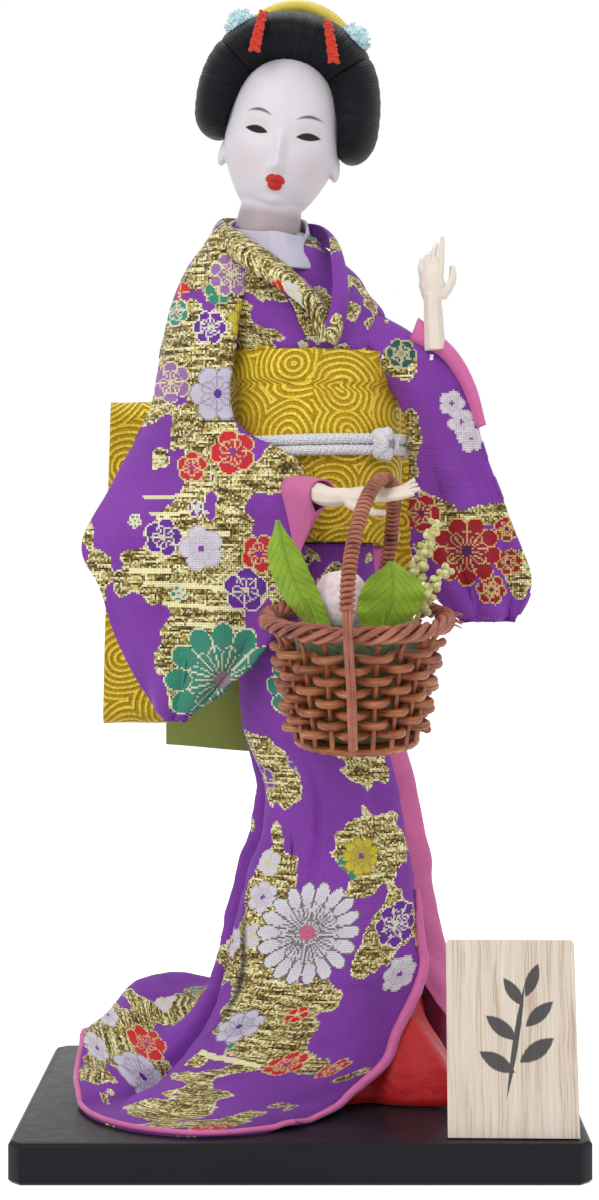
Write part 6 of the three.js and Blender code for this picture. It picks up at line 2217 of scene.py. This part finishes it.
class KIMONODOLL_OT_upper_body(bpy.types.Operator):
    """Sew the upper part of the kimono and its collars"""

    bl_idname = "kimono_doll.upper_body"
    bl_label = "Bodice and Collars"

    def execute(self, context):
        brocade_bodice(finish("bodice brocade"))
        sides = {f"collar_{side}": finish(f"{side} collar brocade") for side in ("left", "right")}
        folded_collars(sides)
        pale_inner_collar(finish("pale cloth"))
        return {"FINISHED"}


class KIMONODOLL_OT_sash(bpy.types.Operator):
    """Wrap the golden sash and tie its cord"""

    bl_idname = "kimono_doll.sash"
    bl_label = "Sash and Cord"

    def execute(self, context):
        golden_obi(finish("sash brocade"))
        obi_cord(finish("white cord"))
        obi_knot(finish("white cord"))
        return {"FINISHED"}


class KIMONODOLL_OT_bow(bpy.types.Operator):
    """Fold the hanging bow and its lined tail"""

    bl_idname = "kimono_doll.bow"
    bl_label = "Bow and Tail"

    def execute(self, context):
        golden_bow(finish("bow brocade"))
        lined_tail(finish("green lining"))
        return {"FINISHED"}


class KIMONODOLL_OT_sleeves(bpy.types.Operator):
    """Sew both sleeves and their cuffs"""

    bl_idname = "kimono_doll.sleeves"
    bl_label = "Sleeves"

    def execute(self, context):
        brocade_sleeve("right", right_sleeve_folds, finish("right sleeve brocade"))
        brocade_sleeve("left", left_sleeve_folds, finish("left sleeve brocade"))
        right_cuff(finish("pink satin"))
        left_cuff(finish("pink satin"))
        return {"FINISHED"}


class KIMONODOLL_OT_hands(bpy.types.Operator):
    """Round the moulded hands and the split-toe socks"""

    bl_idname = "kimono_doll.hands"
    bl_label = "Hands and Feet"

    def execute(self, context):
        hands_and_feet(finish("painted skin"), finish("white cotton"))
        return {"FINISHED"}


class KIMONODOLL_OT_head(bpy.types.Operator):
    """Mould and paint the head"""

    bl_idname = "kimono_doll.head"
    bl_label = "Head"

    def execute(self, context):
        painted_head(finish("painted face"))
        return {"FINISHED"}


class KIMONODOLL_OT_hair(bpy.types.Operator):
    """Comb the hair and put in its ornaments"""

    bl_idname = "kimono_doll.hair"
    bl_label = "Hair and Ornaments"

    def execute(self, context):
        combed_hair(finish("combed hair"))
        hair_band(finish("yellow silk"))
        crinkled_ribbons(finish("red crepe"))
        fluffy_pompoms(finish("blue yarn"))
        return {"FINISHED"}


class KIMONODOLL_OT_basket(bpy.types.Operator):
    """Weave the basket with its border and wound handle"""

    bl_idname = "kimono_doll.basket"
    bl_label = "Basket"

    def execute(self, context):
        basket_frame(finish("stained cane"))
        basket_weave(finish("stained cane"))
        basket_rim(finish("brick cane"))
        basket_handle(finish("brick cane"))
        return {"FINISHED"}


class KIMONODOLL_OT_flowers(bpy.types.Operator):
    """Fill the basket with leaves, a bud and bobbly flowers"""

    bl_idname = "kimono_doll.flowers"
    bl_label = "Flowers"

    def execute(self, context):
        cloth_leaves(finish("cloth leaf"))
        soft_bud(finish("soft bud"))
        bead_sprays(finish("bead flowers"))
        return {"FINISHED"}


# Stage, in metres

CAMERA_PLACE = (0.0054, -0.6045, 0.1644)
LENS = 67.14
SHIFT = (-0.01875, -0.0667)
ROOM_LIGHT = 0.5
FLOOR_GLOW = 0.7
LAMPS = {
    # place, turn in degrees, width and height, power in watts
    "key light": ((-0.55, -0.75, 0.85), (48, 0, -36), (0.7, 0.7), 5.2),
    "fill light": ((0.75, -0.6, 0.45), (66, 0, 51), (0.9, 0.9), 1.6),
    "top light": ((0.05, 0.25, 0.95), (-15, 0, 0), (0.8, 0.6), 2.6),
}


def seen_directly(w):
    """1 for rays from the camera, and for those that glossy or clear surfaces send on."""
    rays = w.node("LightPath").outputs
    glossy = w.larger(rays["Is Glossy Ray"], rays["Is Transmission Ray"])
    return w.larger(rays["Is Camera Ray"], glossy)


def stage_floor():
    """A pale floor; seen directly, it glows a little, so that it meets the white room behind."""
    bpy.ops.object.select_all(action="DESELECT")
    bpy.ops.mesh.primitive_plane_add(size=12)
    floor = added("floor")
    w, shader = new_material("pale floor", 0.9, Specular_IOR_Level=0.2)
    tone = w.noise(object_place(w), 0.01, 2.0)
    w.put(shader["Base Color"], w.ramp(tone, [(0.3, (0.86, 0.86, 0.86)), (0.7, (0.88, 0.88, 0.88))]))
    shader["Emission Color"].default_value = (1, 1, 1, 1)
    w.put(shader["Emission Strength"], seen_directly(w) * FLOOR_GLOW)
    floor.data.materials.append(bpy.data.materials["pale floor"])
    return floor


def studio_world():
    """Even white light; seen directly, the room behind is plain white."""
    world = bpy.data.worlds.new("white room")
    bpy.context.scene.world = world
    world.use_nodes = True
    background = world.node_tree.nodes["Background"].inputs
    background["Color"].default_value = (1, 1, 1, 1)
    w = Wiring(world.node_tree)
    w.put(background["Strength"], w.blend(seen_directly(w), ROOM_LIGHT, 1.0))


class KIMONODOLL_OT_stage(bpy.types.Operator):
    """Set up the floor, the lights and the camera"""

    bl_idname = "kimono_doll.stage"
    bl_label = "Stage"

    def execute(self, context):
        floor = stage_floor()
        studio_world()
        for name, (place, turn, extent, power) in LAMPS.items():
            bpy.ops.object.light_add(type="AREA", location=place, rotation=[radians(a) for a in turn])
            lamp = context.object
            lamp.name = lamp.data.name = name
            lamp.data.shape = "RECTANGLE"
            lamp.data.size, lamp.data.size_y = extent
            lamp.data.energy = power
        bpy.ops.object.camera_add(location=CAMERA_PLACE, rotation=(pi / 2, 0, 0))
        camera = context.object
        camera.name = camera.data.name = "camera"
        camera.data.lens = LENS
        camera.data.shift_x, camera.data.shift_y = SHIFT
        camera.data.clip_start = 0.05
        context.scene.camera = camera
        context.scene.view_settings.view_transform = "Standard"
        return {"FINISHED"}


STEPS = (
    "stage", "stand", "inside", "skirts", "upper_body", "sash", "bow", "sleeves", "hands", "head", "hair",
    "basket", "flowers",
)


class KIMONODOLL_PT_panel(bpy.types.Panel):
    """Settings and steps of the doll"""

    bl_label = "Kimono Doll"
    bl_idname = "KIMONODOLL_PT_panel"
    bl_space_type = "VIEW_3D"
    bl_region_type = "UI"
    bl_category = "Kimono Doll"

    def draw(self, context):
        look = context.scene.kimono_doll
        column = self.layout.column(align=True)
        for key in KimonoDollLook.__annotations__:
            column.prop(look, key)
        column = self.layout.column(align=True)
        for step in STEPS:
            column.operator(f"kimono_doll.{step}")


CLASSES = (
    KimonoDollLook, KIMONODOLL_OT_stage, KIMONODOLL_OT_stand, KIMONODOLL_OT_inside, KIMONODOLL_OT_skirts,
    KIMONODOLL_OT_upper_body, KIMONODOLL_OT_sash, KIMONODOLL_OT_bow, KIMONODOLL_OT_sleeves,
    KIMONODOLL_OT_hands, KIMONODOLL_OT_head, KIMONODOLL_OT_hair, KIMONODOLL_OT_basket,
    KIMONODOLL_OT_flowers, KIMONODOLL_PT_panel,
)


def register():
    for item in CLASSES:
        bpy.utils.register_class(item)
    bpy.types.Scene.kimono_doll = PointerProperty(type=KimonoDollLook)


def unregister():
    del bpy.types.Scene.kimono_doll
    for item in reversed(CLASSES):
        bpy.utils.unregister_class(item)


def main():
    register()
    for step in STEPS:
        getattr(bpy.ops.kimono_doll, step)()


if __name__ == "__main__":
    main()
